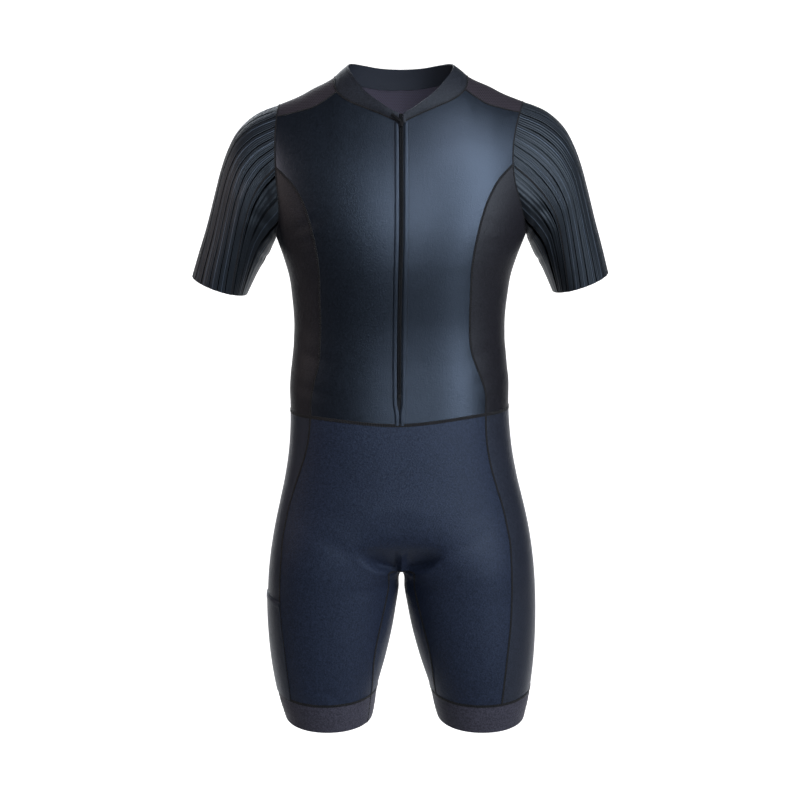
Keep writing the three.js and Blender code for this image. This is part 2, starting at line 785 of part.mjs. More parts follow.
function sleeveShape(side) {
  const loop = armholeLoop(side);
  const ringAt = (share) => {
    const top = along(SLEEVE_OUTER, share);
    const low = along(SLEEVE_INNER, share);
    return {
      centre: top.clone().add(low).multiplyScalar(0.5),
      up: top.clone().sub(low).multiplyScalar(0.5),
      back: mix(2, 2 + SLEEVE_BACK_SWING, share),
      half: sleeveDepthAt(share),
    };
  };
  const first = ringAt(0);
  const angles = loop.map((p) => {
    const flat = new THREE.Vector3(side * (p.x - swayAt(p.z)), p.y, p.z - tilt(p.x));
    return Math.atan2(-(flat.y - first.back) / first.half, (flat.z - first.centre.z) / first.up.z);
  });
  angles.forEach((angle, i) => {
    if (i > OVER_STEPS / 2 && angle > 0) angles[i] -= 2 * Math.PI;
  });
  const frontJoin = angles[0];
  const backJoin = angles[OVER_STEPS];
  const cuffJoin = THREE.MathUtils.degToRad(CUFF_UNDER_ANGLE);
  const frontUnder = frontJoin - 2 * Math.PI;
  const remap = (angle, share) => {
    const front = mix(frontJoin, cuffJoin, share);
    const back = mix(backJoin, -cuffJoin, share);
    if (angle >= backJoin) {
      return mix(back, front, (angle - backJoin) / (frontJoin - backJoin));
    }
    return mix(front - 2 * Math.PI, back, (angle - frontUnder) / (backJoin - frontUnder));
  };
  const onRing = (share, angle) => {
    const { centre, up, back, half } = ringAt(share);
    const out = new THREE.Vector3(up.z, 0, -up.x).normalize();
    const dip = CUFF_DIP * share * Math.sin(angle);
    return new THREE.Vector3(
      centre.x + up.x * Math.cos(angle) + out.x * dip,
      back - half * Math.sin(angle),
      centre.z + up.z * Math.cos(angle) + out.z * dip,
    );
  };
  return (share, at) => {
    const i = Math.min(loop.length - 1, Math.floor(at));
    const next = (i + 1) % loop.length;
    const t = at - i;
    const edge = loop[i].clone().lerp(loop[next], t);
    const nextAngle = next === 0 ? frontUnder : angles[next];
    const angle = mix(angles[i], nextAngle, t);
    const place = (s) => {
      const p = onRing(s, remap(angle, s));
      return settle(new THREE.Vector3(side * p.x, p.y, p.z));
    };
    const keep = 1 - smooth(share / ARMHOLE_BLEND);
    return place(share).addScaledVector(edge.sub(place(0)), keep);
  };
}

function sleevePlace(shape, share, at) {
  const point = shape(share, at);
  const ringEnd = OVER_STEPS + SIDE_COLUMNS;
  const wrap = (v) => ((v % ringEnd) + ringEnd) % ringEnd;
  const round = shape(share, wrap(at + 0.6)).sub(shape(share, wrap(at - 0.6)));
  const down = shape(Math.min(1, share + 0.02), at).sub(shape(Math.max(0, share - 0.02), at));
  return { point, normal: down.cross(round).normalize() };
}

const SLEEVE_SHARES = [0, 0.07, 0.16, 0.28, 0.42, 0.57, 0.72, 0.86, 1];

function sleeveGrid(side, from, to, columns) {
  const shape = sleeveShape(side);
  return SLEEVE_SHARES.map((share) =>
    columns.map((s) => {
      const found = sleevePlace(shape, share, mix(from, to, s));
      const outward = found.point.clone().sub(shape(share, (mix(from, to, s) + OVER_STEPS / 2) % OVER_STEPS));
      if (outward.dot(found.normal) < 0) found.normal.negate();
      return found;
    }),
  );
}

function ribbedSleeve(side) {
  const columns = [];
  for (let rib = 0; rib < RIB_COUNT; rib += 1) {
    for (const edge of [0, RIB_GROOVE_SHARE, 1 - RIB_GROOVE_SHARE]) columns.push((rib + edge) / RIB_COUNT);
  }
  columns.push(1);
  const open = surface([sleeveGrid(side, 0, OVER_STEPS, columns)]);
  drawIn(open, SEAM_GAP / 2);
  const perRow = columns.length;
  const raised = (i) => {
    const column = i % perRow;
    const row = Math.floor(i / perRow);
    const groove = column % 3 === 0;
    return groove || row === 0 ? 0 : RIB_HEIGHT;
  };
  return wall(open, { outer: raised, inner: -PANEL_WALL });
}

function underSleeve(side) {
  const grid = sleeveGrid(side, OVER_STEPS, OVER_STEPS + SIDE_COLUMNS - 1e-6, steps(SIDE_COLUMNS));
  return panel([grid]);
}

// Zip

const centrePlace = (x, z) => {
  const side = x < 0 ? -1 : 1;
  return bodyPlace(side, [turnAt(Math.abs(x), z), z]);
};

const tapeOuter = -(PANEL_WALL + LAYER_GAP);
const chainInner = tapeOuter + LAYER_GAP;

// The tape lies behind the lips and is made from their points.
function zipTape() {
  const grid = zipLine.map((z, i) => [
    centrePlace(-ZIP_TAPE_HALF, tapeLine[i]),
    centrePlace(-zipEdge(z), z),
    centrePlace(zipEdge(z), z),
    centrePlace(ZIP_TAPE_HALF, tapeLine[i]),
  ]);
  const open = surface([grid]);
  drawIn(open, SEAM_GAP);
  return wall(open, { outer: () => tapeOuter, inner: tapeOuter - ZIP_TAPE_WALL });
}

function zipStrip(half, rows, rise) {
  const grid = rows.map((z) => [centrePlace(-half, z), centrePlace(half, z)]);
  return wall(surface([grid]), { outer: () => rise, inner: chainInner });
}

function zipChain() {
  const above = zipLine.filter((z) => z > ZIP_STOP_Z + 5);
  const rows = [ZIP_STOP_Z + SEAM_GAP, ...above];
  rows[rows.length - 1] -= SEAM_GAP;
  return zipStrip(ZIP_CHAIN_HALF, rows, ZIP_CHAIN_RISE);
}

function zipStop() {
  return zipStrip(ZIP_CHAIN_HALF - 0.2, [ZIP_STOP_Z - ZIP_STOP_HEIGHT, ZIP_STOP_Z], ZIP_CHAIN_RISE + 0.5);
}

// A hard piece that stands on the chain, drawn flat and placed square to the cloth. The pull tab is
// hinged at its lower end, half its thickness above the slider, and leans towards the wearer's right.
function onChain(outline, thick, lift, z) {
  const shape = new THREE.Shape(outline.map(([x, y]) => new THREE.Vector2(x, y)));
  const geometry = new THREE.ExtrudeGeometry(shape, { depth: thick, bevelEnabled: false });
  const { point, normal } = centrePlace(ZIP_CLOSED_EDGE, z);
  normal.x = 0;
  normal.normalize();
  const up = new THREE.Vector3(0, -normal.z, normal.y);
  if (up.z < 0) up.negate();
  const right = up.clone().cross(normal);
  const turn = new THREE.Matrix4().makeBasis(right, up, normal);
  geometry.applyMatrix4(turn);
  point.x = swayAt(z);
  const from = point.addScaledVector(normal, lift);
  geometry.translate(from.x, from.y, from.z);
  return geometry;
}

function slider() {
  const { width, length, height } = SLIDER;
  const w = width / 2;
  const outline = [
    [-w * 0.7, -length / 2],
    [w * 0.7, -length / 2],
    [w, length * 0.2],
    [w * 0.75, length / 2],
    [-w * 0.75, length / 2],
    [-w, length * 0.2],
  ];
  return onChain(outline, height, ZIP_CHAIN_RISE + LAYER_GAP, SLIDER_Z);
}

function pullTab() {
  const { width, length, thick, lean, hingeUp } = PULL_TAB;
  const w = width / 2;
  const outline = [
    [-w * 0.7, 0],
    [w * 0.7, 0],
    [w, length * 0.3],
    [w * 0.8, length],
    [-w * 0.8, length],
    [-w, length * 0.3],
  ];
  const turn = THREE.MathUtils.degToRad(lean);
  const leant = outline.map(([x, y]) => [
    x * Math.cos(turn) - y * Math.sin(turn),
    x * Math.sin(turn) + y * Math.cos(turn) + hingeUp,
  ]);
  const lift = ZIP_CHAIN_RISE + LAYER_GAP + SLIDER.height + LAYER_GAP;
  return onChain(leant, thick, lift, SLIDER_Z);
}

// The suit

const suit = new THREE.Group();

function add(name, geometry, colour, roughness = 0.8) {
  const clean = geometry.clone();
  clean.deleteAttribute('normal');
  clean.deleteAttribute('uv');
  const material = new THREE.MeshStandardMaterial({ color: colour, roughness, metalness: 0 });
  const mesh = new THREE.Mesh(mergeVertices(clean, 1e-4), material);
  mesh.name = name;
  suit.add(mesh);
}

const SIDES = { right: -1, left: 1 };

for (const [name, side] of Object.entries(SIDES)) {
  add('front_panel_' + name, frontPanel(side), COLOURS.satin, 0.45);
  add('side_panel_' + name, sidePanel(side), COLOURS.side);
  add('leg_side_' + name, panel([legSideGrid(side)]), COLOURS.side);
  add('leg_band_' + name, panel([bandGrid(side)], BAND_WALL), COLOURS.band);
  add('sleeve_' + name, ribbedSleeve(side), COLOURS.ribbed);
  add('sleeve_under_' + name, underSleeve(side), COLOURS.ribbed);
}
add('back_panel', panel([...backGrids(1), ...backGrids(-1)]), COLOURS.mesh);
add('lower_front', panel([lowerGrid(1, 'front'), lowerGrid(-1, 'front')]), COLOURS.matte);
add('lower_back', panel([lowerGrid(1, 'back'), lowerGrid(-1, 'back')]), COLOURS.matte);
add(
  'gusset',
  panel([gussetGrid(1, 'front'), gussetGrid(-1, 'front'), gussetGrid(1, 'back'), gussetGrid(-1, 'back')]),
  COLOURS.matte,
);
add('leg_pocket', pocket(SIDES.right), COLOURS.side);
add('collar', panel([collarGrid()], COLLAR_WALL), COLOURS.ribbed);
add('zip_tape', zipTape(), COLOURS.zip);
add('zip_chain', zipChain(), COLOURS.zip, 0.5);
add('zip_stop', zipStop(), COLOURS.zip, 0.4);
add('zip_slider', slider(), COLOURS.zip, 0.35);
add('zip_pull', pullTab(), COLOURS.zip, 0.4);

export default suit;
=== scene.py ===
"""A short-sleeved triathlon suit: cloth, sewing, zip and studio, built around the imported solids."""
import math

import bmesh
import bpy
import numpy as np
from bpy.props import FloatProperty, FloatVectorProperty, PointerProperty
from mathutils import Matrix, Vector


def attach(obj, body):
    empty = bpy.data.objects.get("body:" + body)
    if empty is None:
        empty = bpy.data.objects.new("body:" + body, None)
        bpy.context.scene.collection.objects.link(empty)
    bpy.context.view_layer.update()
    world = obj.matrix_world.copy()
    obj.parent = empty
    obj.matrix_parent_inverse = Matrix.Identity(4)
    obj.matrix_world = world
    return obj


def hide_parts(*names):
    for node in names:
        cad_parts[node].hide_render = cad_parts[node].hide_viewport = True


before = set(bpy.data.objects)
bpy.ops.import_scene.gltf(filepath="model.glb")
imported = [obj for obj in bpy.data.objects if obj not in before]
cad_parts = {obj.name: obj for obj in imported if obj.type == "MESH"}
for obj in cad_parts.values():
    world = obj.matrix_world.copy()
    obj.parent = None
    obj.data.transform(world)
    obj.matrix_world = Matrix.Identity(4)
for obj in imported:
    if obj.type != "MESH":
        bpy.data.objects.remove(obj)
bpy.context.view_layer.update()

bl_info = {
    "name": "Triathlon suit",
    "version": (1, 0, 0),
    "blender": (4, 5, 0),
    "location": "3D View > Sidebar > Triathlon suit",
    "description": "Cloth panels, seams, stitches, zip and studio for a worn triathlon suit",
    "category": "Add Mesh",
}

MM = 0.001
# The wearer's right and left: how names end, and the sign of x
SIDES = (("_right", -1), ("_left", 1))

# Heights of the main seams and edges, in millimetres like every length of the cut below.
ARMPIT_Z = -216
WAIST_Z = -468
HIP_Z = -585
CROTCH_Z = -697
GUSSET_TOP_Z = -686
BAND_SEAM_Z = -869.5
HEM_Z = -913.5
ARMHOLE_JOIN_Z = -119
YOKE_ARMHOLE_Z = -50
POCKET_TOP_Z = -729

# Rough lengths of the panels along and across the cloth, which set how many points they get
UPPER_LENGTH = 349
YOKE_LENGTH = 120
FRONT_ACROSS = 165
SIDE_ACROSS = 190
BACK_ACROSS = 210
LEG_LENGTH = 190
SEAT_LENGTH = 230
LOWER_ACROSS = 150
LEG_SIDE_ACROSS = 180
GUSSET_COLUMNS = 6
YOKE_ROWS = 8
# Metres of cloth for each unit of turn in the cloth's map, on the body and on the leg bands
MAP_TURN = 0.235
BAND_MAP_TURN = 0.2

# Leg bands and pocket: how far they lie above the panels, the pocket's wall and hem, its rows and their share
# below the opening
BAND_LIFT = 0.15
BAND_WAVES = 34
POCKET_LIFT = 1.3
POCKET_WALL = 1.0
POCKET_HEM = 8.4
POCKET_STITCH_DOWN = 7.4
POCKET_ROWS = 100
POCKET_SHARE = 7 / 19

# Shape of the sections
TORSO_POWER = 2.3
LEG_POWER = 2.1
LEG_FULLNESS = 0.98
SHOULDER_RISE_POWER = 2.6
RIDGE_Y = 8
CROTCH_ARCH_POWER = 1.3
CROTCH_BLEND_HALF = 70
SHOULDER_TILT = 0.018
SHOULDER_LIFT = 2.8
WAIST_RISE = 7.5
WAIST_RISE_HALF = 120
WAIST_TILT = 0.014
WAIST_REACH = 110
HEM_DIP = 0.115
# The height below the armhole's join in which the front seam's two pulls blend
SEAM_BLEND = 45
# The shoulders' tilt fades out above this height, over this distance
TILT_TOP_Z = -20
TILT_FADE = 40
# The neckline is looked for above this height
NECK_LOWEST_Z = -110
# The wall's rows are closer together above these heights, at the zip and at the back's middle
ZIP_FINE_Z = -140
BACK_FINE_Z = -112
# height, pull of the front seams towards the wearer's right
SEAM_PULL = (
    (-881, 11.4),
    (-800, 9.6),
    (-735, 9),
    (-665, 8),
    (-594, 8),
    (-540, 6.5),
    (-505, 4),
    (-468, 2.1),
    (-436, 1),
    (-414, 1.6),
    (-394, 2.8),
    (-366, 5.4),
    (-332, 6),
    (-255, 7),
    (-190, 8),
)
ARMHOLE_PULL = ((-216, 0), (-190, 0), (-170, 2.5), (-140, 8), (-119, 9.8), (-64, 6.5), (-46, 2.8), (-35, 0))

# height, half width, depth of the front, depth of the back
BODY = (
    (-925, 172, 67, 68),
    (-915, 174, 69, 70),
    (-881, 182, 77, 77),
    (-835, 189, 86, 86),
    (-775, 193, 95, 96),
    (-733, 193, 100, 104),
    (-703, 191.5, 104, 110),
    (-682, 189.5, 107, 114.5),
    (-633, 182, 111, 121),
    (-592, 173, 112, 122),
    (-560, 165.5, 111, 119.5),
    (-522, 158.5, 110, 114),
    (-468, 154.5, 108, 102),
    (-428, 154.5, 106, 94),
    (-380, 150, 105, 88),
    (-340, 148, 107, 90),
    (-301, 151, 112, 97),
    (-273, 155, 116, 102),
    (-246, 163, 119, 106),
    (-216, 174, 120, 109),
    (-180, 185, 118, 111),
    (-140, 195, 113, 112),
    (-100, 204, 106, 113),
    (-60, 210, 96, 114),
    (-20, 214, 86, 116),
    (20, 216, 80, 118),
)
# height, shift to the wearer's left
SWAY = (
    (-925, 5.5),
    (-880, 3.6),
    (-820, 1.8),
    (-733, 0.2),
    (-592, 0),
    (-522, -1.6),
    (-468, -2.8),
    (-340, -2.9),
    (-270, -1.8),
    (-216, -0.6),
    (-60, -0.8),
)
# height, distance from the middle
INSEAM = (
    (-925, 50.5),
    (-915, 47.5),
    (-871, 38.5),
    (-820, 23.5),
    (-775, 12.6),
    (-745, 7.3),
    (-725, 4),
    (-703, 2.6),
    (-697, 0),
)
ARMHOLE = (
    (-216, 174),
    (-205, 171.5),
    (-190, 167.5),
    (-170, 164),
    (-119, 161),
    (-64, 164.7),
    (-47, 167),
    (-35, 168.5),
)
SIDE_SEAM = (
    (-881, 149.4),
    (-847, 152.5),
    (-800, 157.5),
    (-755, 162),
    (-710, 163),
    (-665, 161),
    (-638, 159),
    (-617, 155),
    (-594, 150),
    (-561, 140),
    (-537, 132),
    (-505, 124),
    (-468, 121),
    (-436, 120),
    (-414, 115),
    (-394, 109),
    (-366, 103.5),
    (-332, 102),
    (-290, 102.7),
    (-255, 103.6),
    (-221, 108.6),
    (-190, 116),
    (-160, 127),
    (-137, 142),
    (-119, 161),
)
INNER_SEAM = (
    (-881, 49),
    (-871, 47),
    (-803, 39.5),
    (-759, 29.5),
    (-732, 23),
    (-710, 18.5),
    (-686, 18),
)
# distance from the middle, height
RIDGE = (
    (0, 14),
    (62, 9),
    (92.5, 0.4),
    (101, -4.3),
    (123, -14.4),
    (137, -22),
    (168.5, -35),
    (200, -48),
    (216, -58),
)
YOKE_SEAM = (
    (87, -17.5),
    (100, -27),
    (114, -36),
    (141, -44.5),
    (160, -49),
    (167, -50),
)

# Neckline and collar
NECK_HALF = 92.5
# reach at the middle, loss for each millimetre to the side, power of the turn at the shoulder
NECK_FRONT = (77.8, 0.295, 5)
NECK_BACK = (65, 0, 2.2)
YOKE_NECK_X = 87
COLLAR_HALF = 73
COLLAR_MID_Y = 5
COLLAR_FRONT = 73
COLLAR_BACK = 59
COLLAR_BULGE = 0.9
COLLAR_MAP_UP = 0.026
# angle from the front, height
COLLAR_TOP = (
    (0, -49),
    (11, -42.5),
    (24, -32),
    (40, -18.8),
    (57, -2.8),
    (75, 10),
    (90, 16),
    (108, 18.6),
    (137, 16.2),
    (152, 13.4),
    (166, 11.8),
    (180, 11.2),
)

# Sleeve outlines from the front, as distance from the middle and height
SLEEVE_OUTER = (
    (168.5, -35),
    (204, -51),
    (227, -73),
    (239, -95),
    (249, -121.5),
    (258, -153),
    (270, -198),
    (283, -241),
    (292, -272),
)
SLEEVE_INNER = ((174, -216), (183, -237), (200, -266.5), (215.5, -299))
# share of the way to the cuff, half depth
SLEEVE_DEPTH = ((0, 61), (0.3, 62), (0.6, 55), (1, 46))
SLEEVE_BACK_SWING = 10
CUFF_DIP = 4
CUFF_UNDER_ANGLE = 122
ARMHOLE_BLEND = 0.45
RIB_COUNT = 16
RIB_COLUMNS = 14
RIB_FULL_SHARE = 0.05
RIB_GROOVE_SHARE = 0.14
SLEEVE_MIDDLE_Y = 2
SLEEVE_LENGTH = 180
UNDER_SLEEVE_LENGTH = 130
# Millimetres for each place round the sleeve
SLEEVE_PLACE = 14
SLEEVE_SEAM_FROM = 0.02

# Zip
ZIP_EDGE = 3
ZIP_CLOSED_EDGE = 0.4
ZIP_STOP_Z = -426
ZIP_STOP_HEIGHT = 6
ZIP_TAPE_HALF = 11
ZIP_TAPE_WALL = 0.8
ZIP_TAPE_LIFT = -1.5
ZIP_STITCH_X = 10.5
ZIP_CORD_WIDTH = 5.2
ZIP_CORD_SINK = 0.7
TOOTH_ASIDE = 1.15
TOOTH_SINK = 0.15
ZIP_LIP_WIDTH = 6.2
ZIP_LIP_ASIDE = 3.2
COLLAR_END_WIDTH = 3.6
COLLAR_END_ASIDE = 1.9
# The front edges part from this far below the stop, over this distance
ZIP_PART_BELOW = 28
ZIP_PART_OVER = 18
# The rows of stitches lie at this share of a seam's width on both sides of its middle
SEAM_STITCH_SHARE = 0.33
# How far the rows of stitches and the collar's seam lie from the collar's edges, and above the cloth
COLLAR_SEAM_UP = 1.1
COLLAR_SEAM_LIFT = 0.25
COLLAR_STITCH_UP = 3.4
COLLAR_STITCH_LIFT = 0.6
COLLAR_TOP_STITCH_DOWN = 2.6
COLLAR_TOP_STITCH_LIFT = 0.4
ZIP_STITCH_LIFT = 0.15
POCKET_STITCH_LIFT = 0.6
SLIDER_Z = -63
TAB_LEAN = 48
TAB_UP = 2

# Soft creases of the worn cloth: face (-1 front, 1 back), start x and z, end x and z, half width, height.
CREASES = (
    (-1, -150, -208, -104, -182, 8, -0.7),
    (-1, -152, -222, -112, -214, 7, -0.5),
    (-1, 148, -212, 110, -190, 8, -0.7),
    (-1, 150, -226, 118, -222, 7, -0.5),
    (-1, -148, -372, -96, -384, 10, -0.6),
    (-1, -146, -424, -88, -436, 10, -0.6),
    (-1, 147, -366, 104, -376, 10, -0.6),
    (-1, 149, -408, 110, -420, 10, -0.6),
    (-1, -112, -628, -74, -650, 11, -0.9),
    (-1, 114, -624, 78, -646, 11, -0.8),
    (-1, -128, -842, -86, -862, 8, -0.9),
    (-1, 126, -838, 92, -856, 8, -0.8),
    (1, -140, -214, -92, -178, 8, -1.7),
    (1, 142, -208, 96, -184, 8, -1.5),
    (1, -104, -396, -22, -408, 9, -1.7),
    (1, 96, -384, 10, -396, 9, -1.5),
    (1, -70, -430, 64, -438, 10, -1.9),
    (1, -120, -350, -60, -362, 8, -1.0),
    (1, -96, -676, -34, -690, 9, -3.2),
    (1, 98, -678, 36, -690, 9, -3.0),
    (1, -124, -706, -76, -716, 8, -1.2),
    (1, 120, -704, 82, -716, 8, -1.1),
    (1, 110, -846, 70, -862, 8, -0.8),
)
# The seat pad stands proud under the lower front, over a soft fold where the thighs begin.
# The fold's height in the middle, how fast it rises to the sides, where its upper side ends, its depth, where
# it starts and fades across, and the radius that rounds the cloth between the legs, with the height it takes.
FOLD_Z = -692
FOLD_RISE = 0.0107
FOLD_TOP_Z = -638
FOLD_DEPTH = 23
FOLD_STEP = 0.24
FOLD_FROM = 8
FOLD_FADE_FROM = 28
FOLD_FADE_ACROSS = 36
BETWEEN_RADIUS = 15
BETWEEN_HEIGHT = 18
# The pad's height, its middle and its half sizes across and up
PAD_HEIGHT = 7
PAD_MIDDLE_Z = -630
PAD_HALF_ACROSS = 44
PAD_HALF_UP = 27
# Creases of the sleeves: side, place around and share of the way to the cuff at start and end, half width,
# height.
SLEEVE_CREASES = (
    (-1, 17.5, 0.06, 20.5, 0.42, 5, -0.9),
    (-1, 20.0, 0.02, 23.2, 0.34, 5, -0.85),
    (-1, 22.5, 0.10, 24.0, 0.52, 5, -0.9),
    (-1, 0.6, 0.10, 2.2, 0.34, 6, -0.9),
    (-1, 13.0, 0.08, 15.0, 0.36, 6, -0.9),
    (1, 17.2, 0.10, 20.0, 0.46, 5, -0.85),
    (1, 19.6, 0.03, 23.0, 0.30, 5, -0.9),
    (1, 22.0, 0.16, 23.8, 0.55, 5, -0.7),
    (1, 0.4, 0.12, 2.0, 0.38, 6, -0.8),
    (1, 13.4, 0.10, 15.2, 0.40, 6, -0.8),
)


# Sums on tables and sections


def curve(rows, column=1):
    """A smooth curve through the first and another column of a table."""
    rows = np.array(rows, float)
    xs, ys = rows[:, 0], rows[:, column]
    width = np.diff(xs)
    secant = np.diff(ys) / width
    slope = np.concatenate([secant[:1], np.zeros(len(xs) - 2), secant[-1:]])
    slope[1:-1] = (width[1:] * secant[:-1] + width[:-1] * secant[1:]) / (width[1:] + width[:-1])

    def at(x):
        x = np.clip(np.asarray(x, float), xs[0], xs[-1])
        i = np.clip(np.searchsorted(xs, x, side="right") - 1, 0, len(xs) - 2)
        t = (x - xs[i]) / width[i]
        u = 1 - t
        return (
            ys[i] * u * u * (1 + 2 * t)
            + ys[i + 1] * t * t * (3 - 2 * t)
            + width[i] * t * u * (slope[i] * u - slope[i + 1] * t)
        )

    return at


def smooth(t):
    t = np.clip(t, 0, 1)
    return t * t * (3 - 2 * t)


def mix(a, b, t):
    return a + (b - a) * t


def oval(share, power):
    return np.maximum(0, 1 - np.abs(share) ** power) ** (1 / power)


def steps(low, high, count):
    return np.linspace(low, high, count + 1)


def unit(v):
    return v / np.maximum(np.linalg.norm(v, axis=-1, keepdims=True), 1e-9)


def far_along(points):
    """The distance along a line at each of its points."""
    return np.concatenate([[0], np.cumsum(np.linalg.norm(np.diff(points, axis=0), axis=1))])


def closing(strength, count):
    """Steps from 0 to 1 that come closer together towards the end."""
    return 1 - (1 - steps(0, 1, count)) ** strength


def crease_shape(away):
    """A crease's height by the distance from its line: a soft ridge with a shallow dip on each side."""
    return np.exp(-(away**2)) - 0.3 * np.exp(-((away / 2.2 - 0.7) ** 2) * 4)


half_at = curve(BODY, 1)
front_at = curve(BODY, 2)
back_at = curve(BODY, 3)
sway_at = curve(SWAY)
seam_pull_at = curve(SEAM_PULL)
armhole_pull_at = curve(ARMHOLE_PULL)
inseam_at = curve(INSEAM)
armhole_at = curve(ARMHOLE)
side_seam_at = curve(SIDE_SEAM)
inner_seam_at = curve(INNER_SEAM)
ridge_at = curve(RIDGE)
yoke_seam_at = curve(YOKE_SEAM)
collar_top_at = curve(COLLAR_TOP)
sleeve_depth_at = curve(SLEEVE_DEPTH)
TIP_Z = float(ridge_at(armhole_at(-35)))


# Body surface


def inseam(z):
    return np.where(z >= CROTCH_Z, 0, inseam_at(z))


def middle_y(z):
    return RIDGE_Y * smooth((z - ARMPIT_Z) / -ARMPIT_Z)


def depth(front, x, z):
    """How far the cloth stands in front of, or behind, the side line."""
    x = np.abs(x)
    half = half_at(z)
    reach = np.where(front, front_at(z), back_at(z))
    torso = reach * oval(x / half, TORSO_POWER)
    rise = np.clip((z - ARMPIT_Z) / (ridge_at(x) - ARMPIT_Z), 0, None)
    torso = torso * np.sqrt(np.maximum(0, 1 - rise**SHOULDER_RISE_POWER))
    inner = inseam(z)
    middle = (half + inner) / 2
    rounding = BETWEEN_RADIUS * smooth((z - CROTCH_Z) / BETWEEN_HEIGHT) * (1 - smooth(x / CROTCH_BLEND_HALF))
    leg = LEG_FULLNESS * reach * oval((np.hypot(x, rounding) - middle) / (half - middle), LEG_POWER)
    up = np.clip((z - CROTCH_Z) / (HIP_Z - CROTCH_Z), 0, 1)
    share = mix(oval(1 - up, CROTCH_ARCH_POWER), smooth(up), smooth(x / CROTCH_BLEND_HALF))
    return mix(leg, torso, share) - np.where(front, fold(x, z), 0)


def fold(x, z):
    """The depth of the soft fold between the seat pad and the thighs."""
    low = FOLD_Z + FOLD_RISE * x * x
    t = np.clip((z - low) / np.maximum(FOLD_TOP_Z - low, 1), 0, 1)
    spread = smooth(x / FOLD_FROM) * (1 - smooth((x - FOLD_FADE_FROM) / FOLD_FADE_ACROSS))
    return FOLD_DEPTH * spread * smooth(t / FOLD_STEP) * (1 - t)


def settle(p):
    """Moves points as the wearer carries the suit."""
    x, y, z = p[..., 0], p[..., 1], p[..., 2]
    upper = smooth((z - HIP_Z) / (ARMPIT_Z - HIP_Z)) * (1 - smooth((z - TILT_TOP_Z) / TILT_FADE))
    waist = smooth(1 - np.abs(z - WAIST_Z) / WAIST_REACH)
    lower = smooth((CROTCH_Z - z) / (CROTCH_Z - BAND_SEAM_Z))
    tilt = SHOULDER_LIFT * np.tanh(SHOULDER_TILT * x / SHOULDER_LIFT)
    rise = WAIST_RISE * smooth(np.abs(x) / WAIST_RISE_HALF) + WAIST_TILT * x
    return np.stack([x + sway_at(z), y, z + tilt * upper + rise * waist + HEM_DIP * y * lower], -1)


def width_at(turn, z):
    return inseam(z) + (half_at(z) - inseam(z)) * np.sin(math.pi / 2 * turn)


def turn_at(x, z, face=-1):
    share = np.clip((x - inseam(z)) / (half_at(z) - inseam(z)), 0, 1)
    turn = np.arcsin(share) / (math.pi / 2)
    return turn if face < 0 else 2 - turn


def crease_height(front, x, z, strength):
    """The height of the listed creases at places on the body."""
    total = np.zeros(np.broadcast(x, z).shape)
    for face, x1, z1, x2, z2, half, height in CREASES:
        dx, dz = x2 - x1, z2 - z1
        along = np.clip(((x - x1) * dx + (z - z1) * dz) / (dx**2 + dz**2), 0, 1)
        away = np.hypot(x - mix(x1, x2, along), z - mix(z1, z2, along)) / half
        fade = 0.35 + 0.65 * np.sin(math.pi * np.clip(along * 0.8 + 0.1, 0, 1))
        total += np.where(front == (face < 0), height * fade * crease_shape(away), 0)
    pad = np.exp(-((x / PAD_HALF_ACROSS) ** 2) - ((z - PAD_MIDDLE_Z) / PAD_HALF_UP) ** 2)
    return (total + np.where(front, PAD_HEIGHT * pad, 0)) * strength


def body(side, turn, z, creased=True):
    """Points and outward normals of the body, by turn (0 front middle to 2 back middle) and height."""
    turn, z = np.broadcast_arrays(np.asarray(turn, float), np.asarray(z, float))
    front = turn <= 1
    x = width_at(turn, z)
    away = depth(front, x, z)
    rel = np.where(front, -away, away)
    h = 0.5
    along_x = (depth(front, x + h, z) ** 2 - depth(front, x - h, z) ** 2) / (2 * h)
    along_z = (depth(front, x, z + h) ** 2 - depth(front, x, z - h) ** 2) / (2 * h)
    lean = (middle_y(z + h) - middle_y(z - h)) / (2 * h)
    normal = unit(np.stack([-along_x * side, 2 * rel, -along_z - 2 * rel * lean], -1))
    point = settle(np.stack([side * x, middle_y(z) + rel, z], -1))
    if creased:
        strength = bpy.context.scene.suit_cloth.crease_strength
        point = point + normal * crease_height(front, side * x, z, strength)[..., None]
    return point, normal


def patch(bottom, top, left, right):
    """Fills the space between four rows of places."""
    s = np.linspace(0, 1, len(bottom))[None, :, None]
    t = np.linspace(0, 1, len(left))[:, None, None]
    corners = mix(mix(bottom[0], bottom[-1], s), mix(top[0], top[-1], s), t)
    return mix(bottom[None], top[None], t) + mix(left[:, None], right[:, None], s) - corners


def on_body(side, places):
    return body(side, places[..., 0], places[..., 1])


def body_grid(side, places):
    return *on_body(side, places), places * np.array([side * MAP_TURN, MM])


# Seam lines, as places


def pairs(turn, z):
    turn, z = np.broadcast_arrays(turn, z)
    return np.stack([turn, z], -1).astype(float)


def armhole_x(side, face, z):
    return armhole_at(z) - (side * armhole_pull_at(z) if face < 0 else 0)


def armhole(side, face, z):
    return pairs(turn_at(armhole_x(side, face, z), z, face), z)


def front_seam(side, z):
    pull = mix(armhole_pull_at(ARMHOLE_JOIN_Z), seam_pull_at(z), smooth((ARMHOLE_JOIN_Z - z) / SEAM_BLEND))
    return pairs(turn_at(side_seam_at(z) - side * pull, z), z)


def back_seam(z):
    return pairs(turn_at(side_seam_at(z), z, 1), z)


def inner_seam(face, z):
    return pairs(turn_at(inner_seam_at(z), z, face), z)


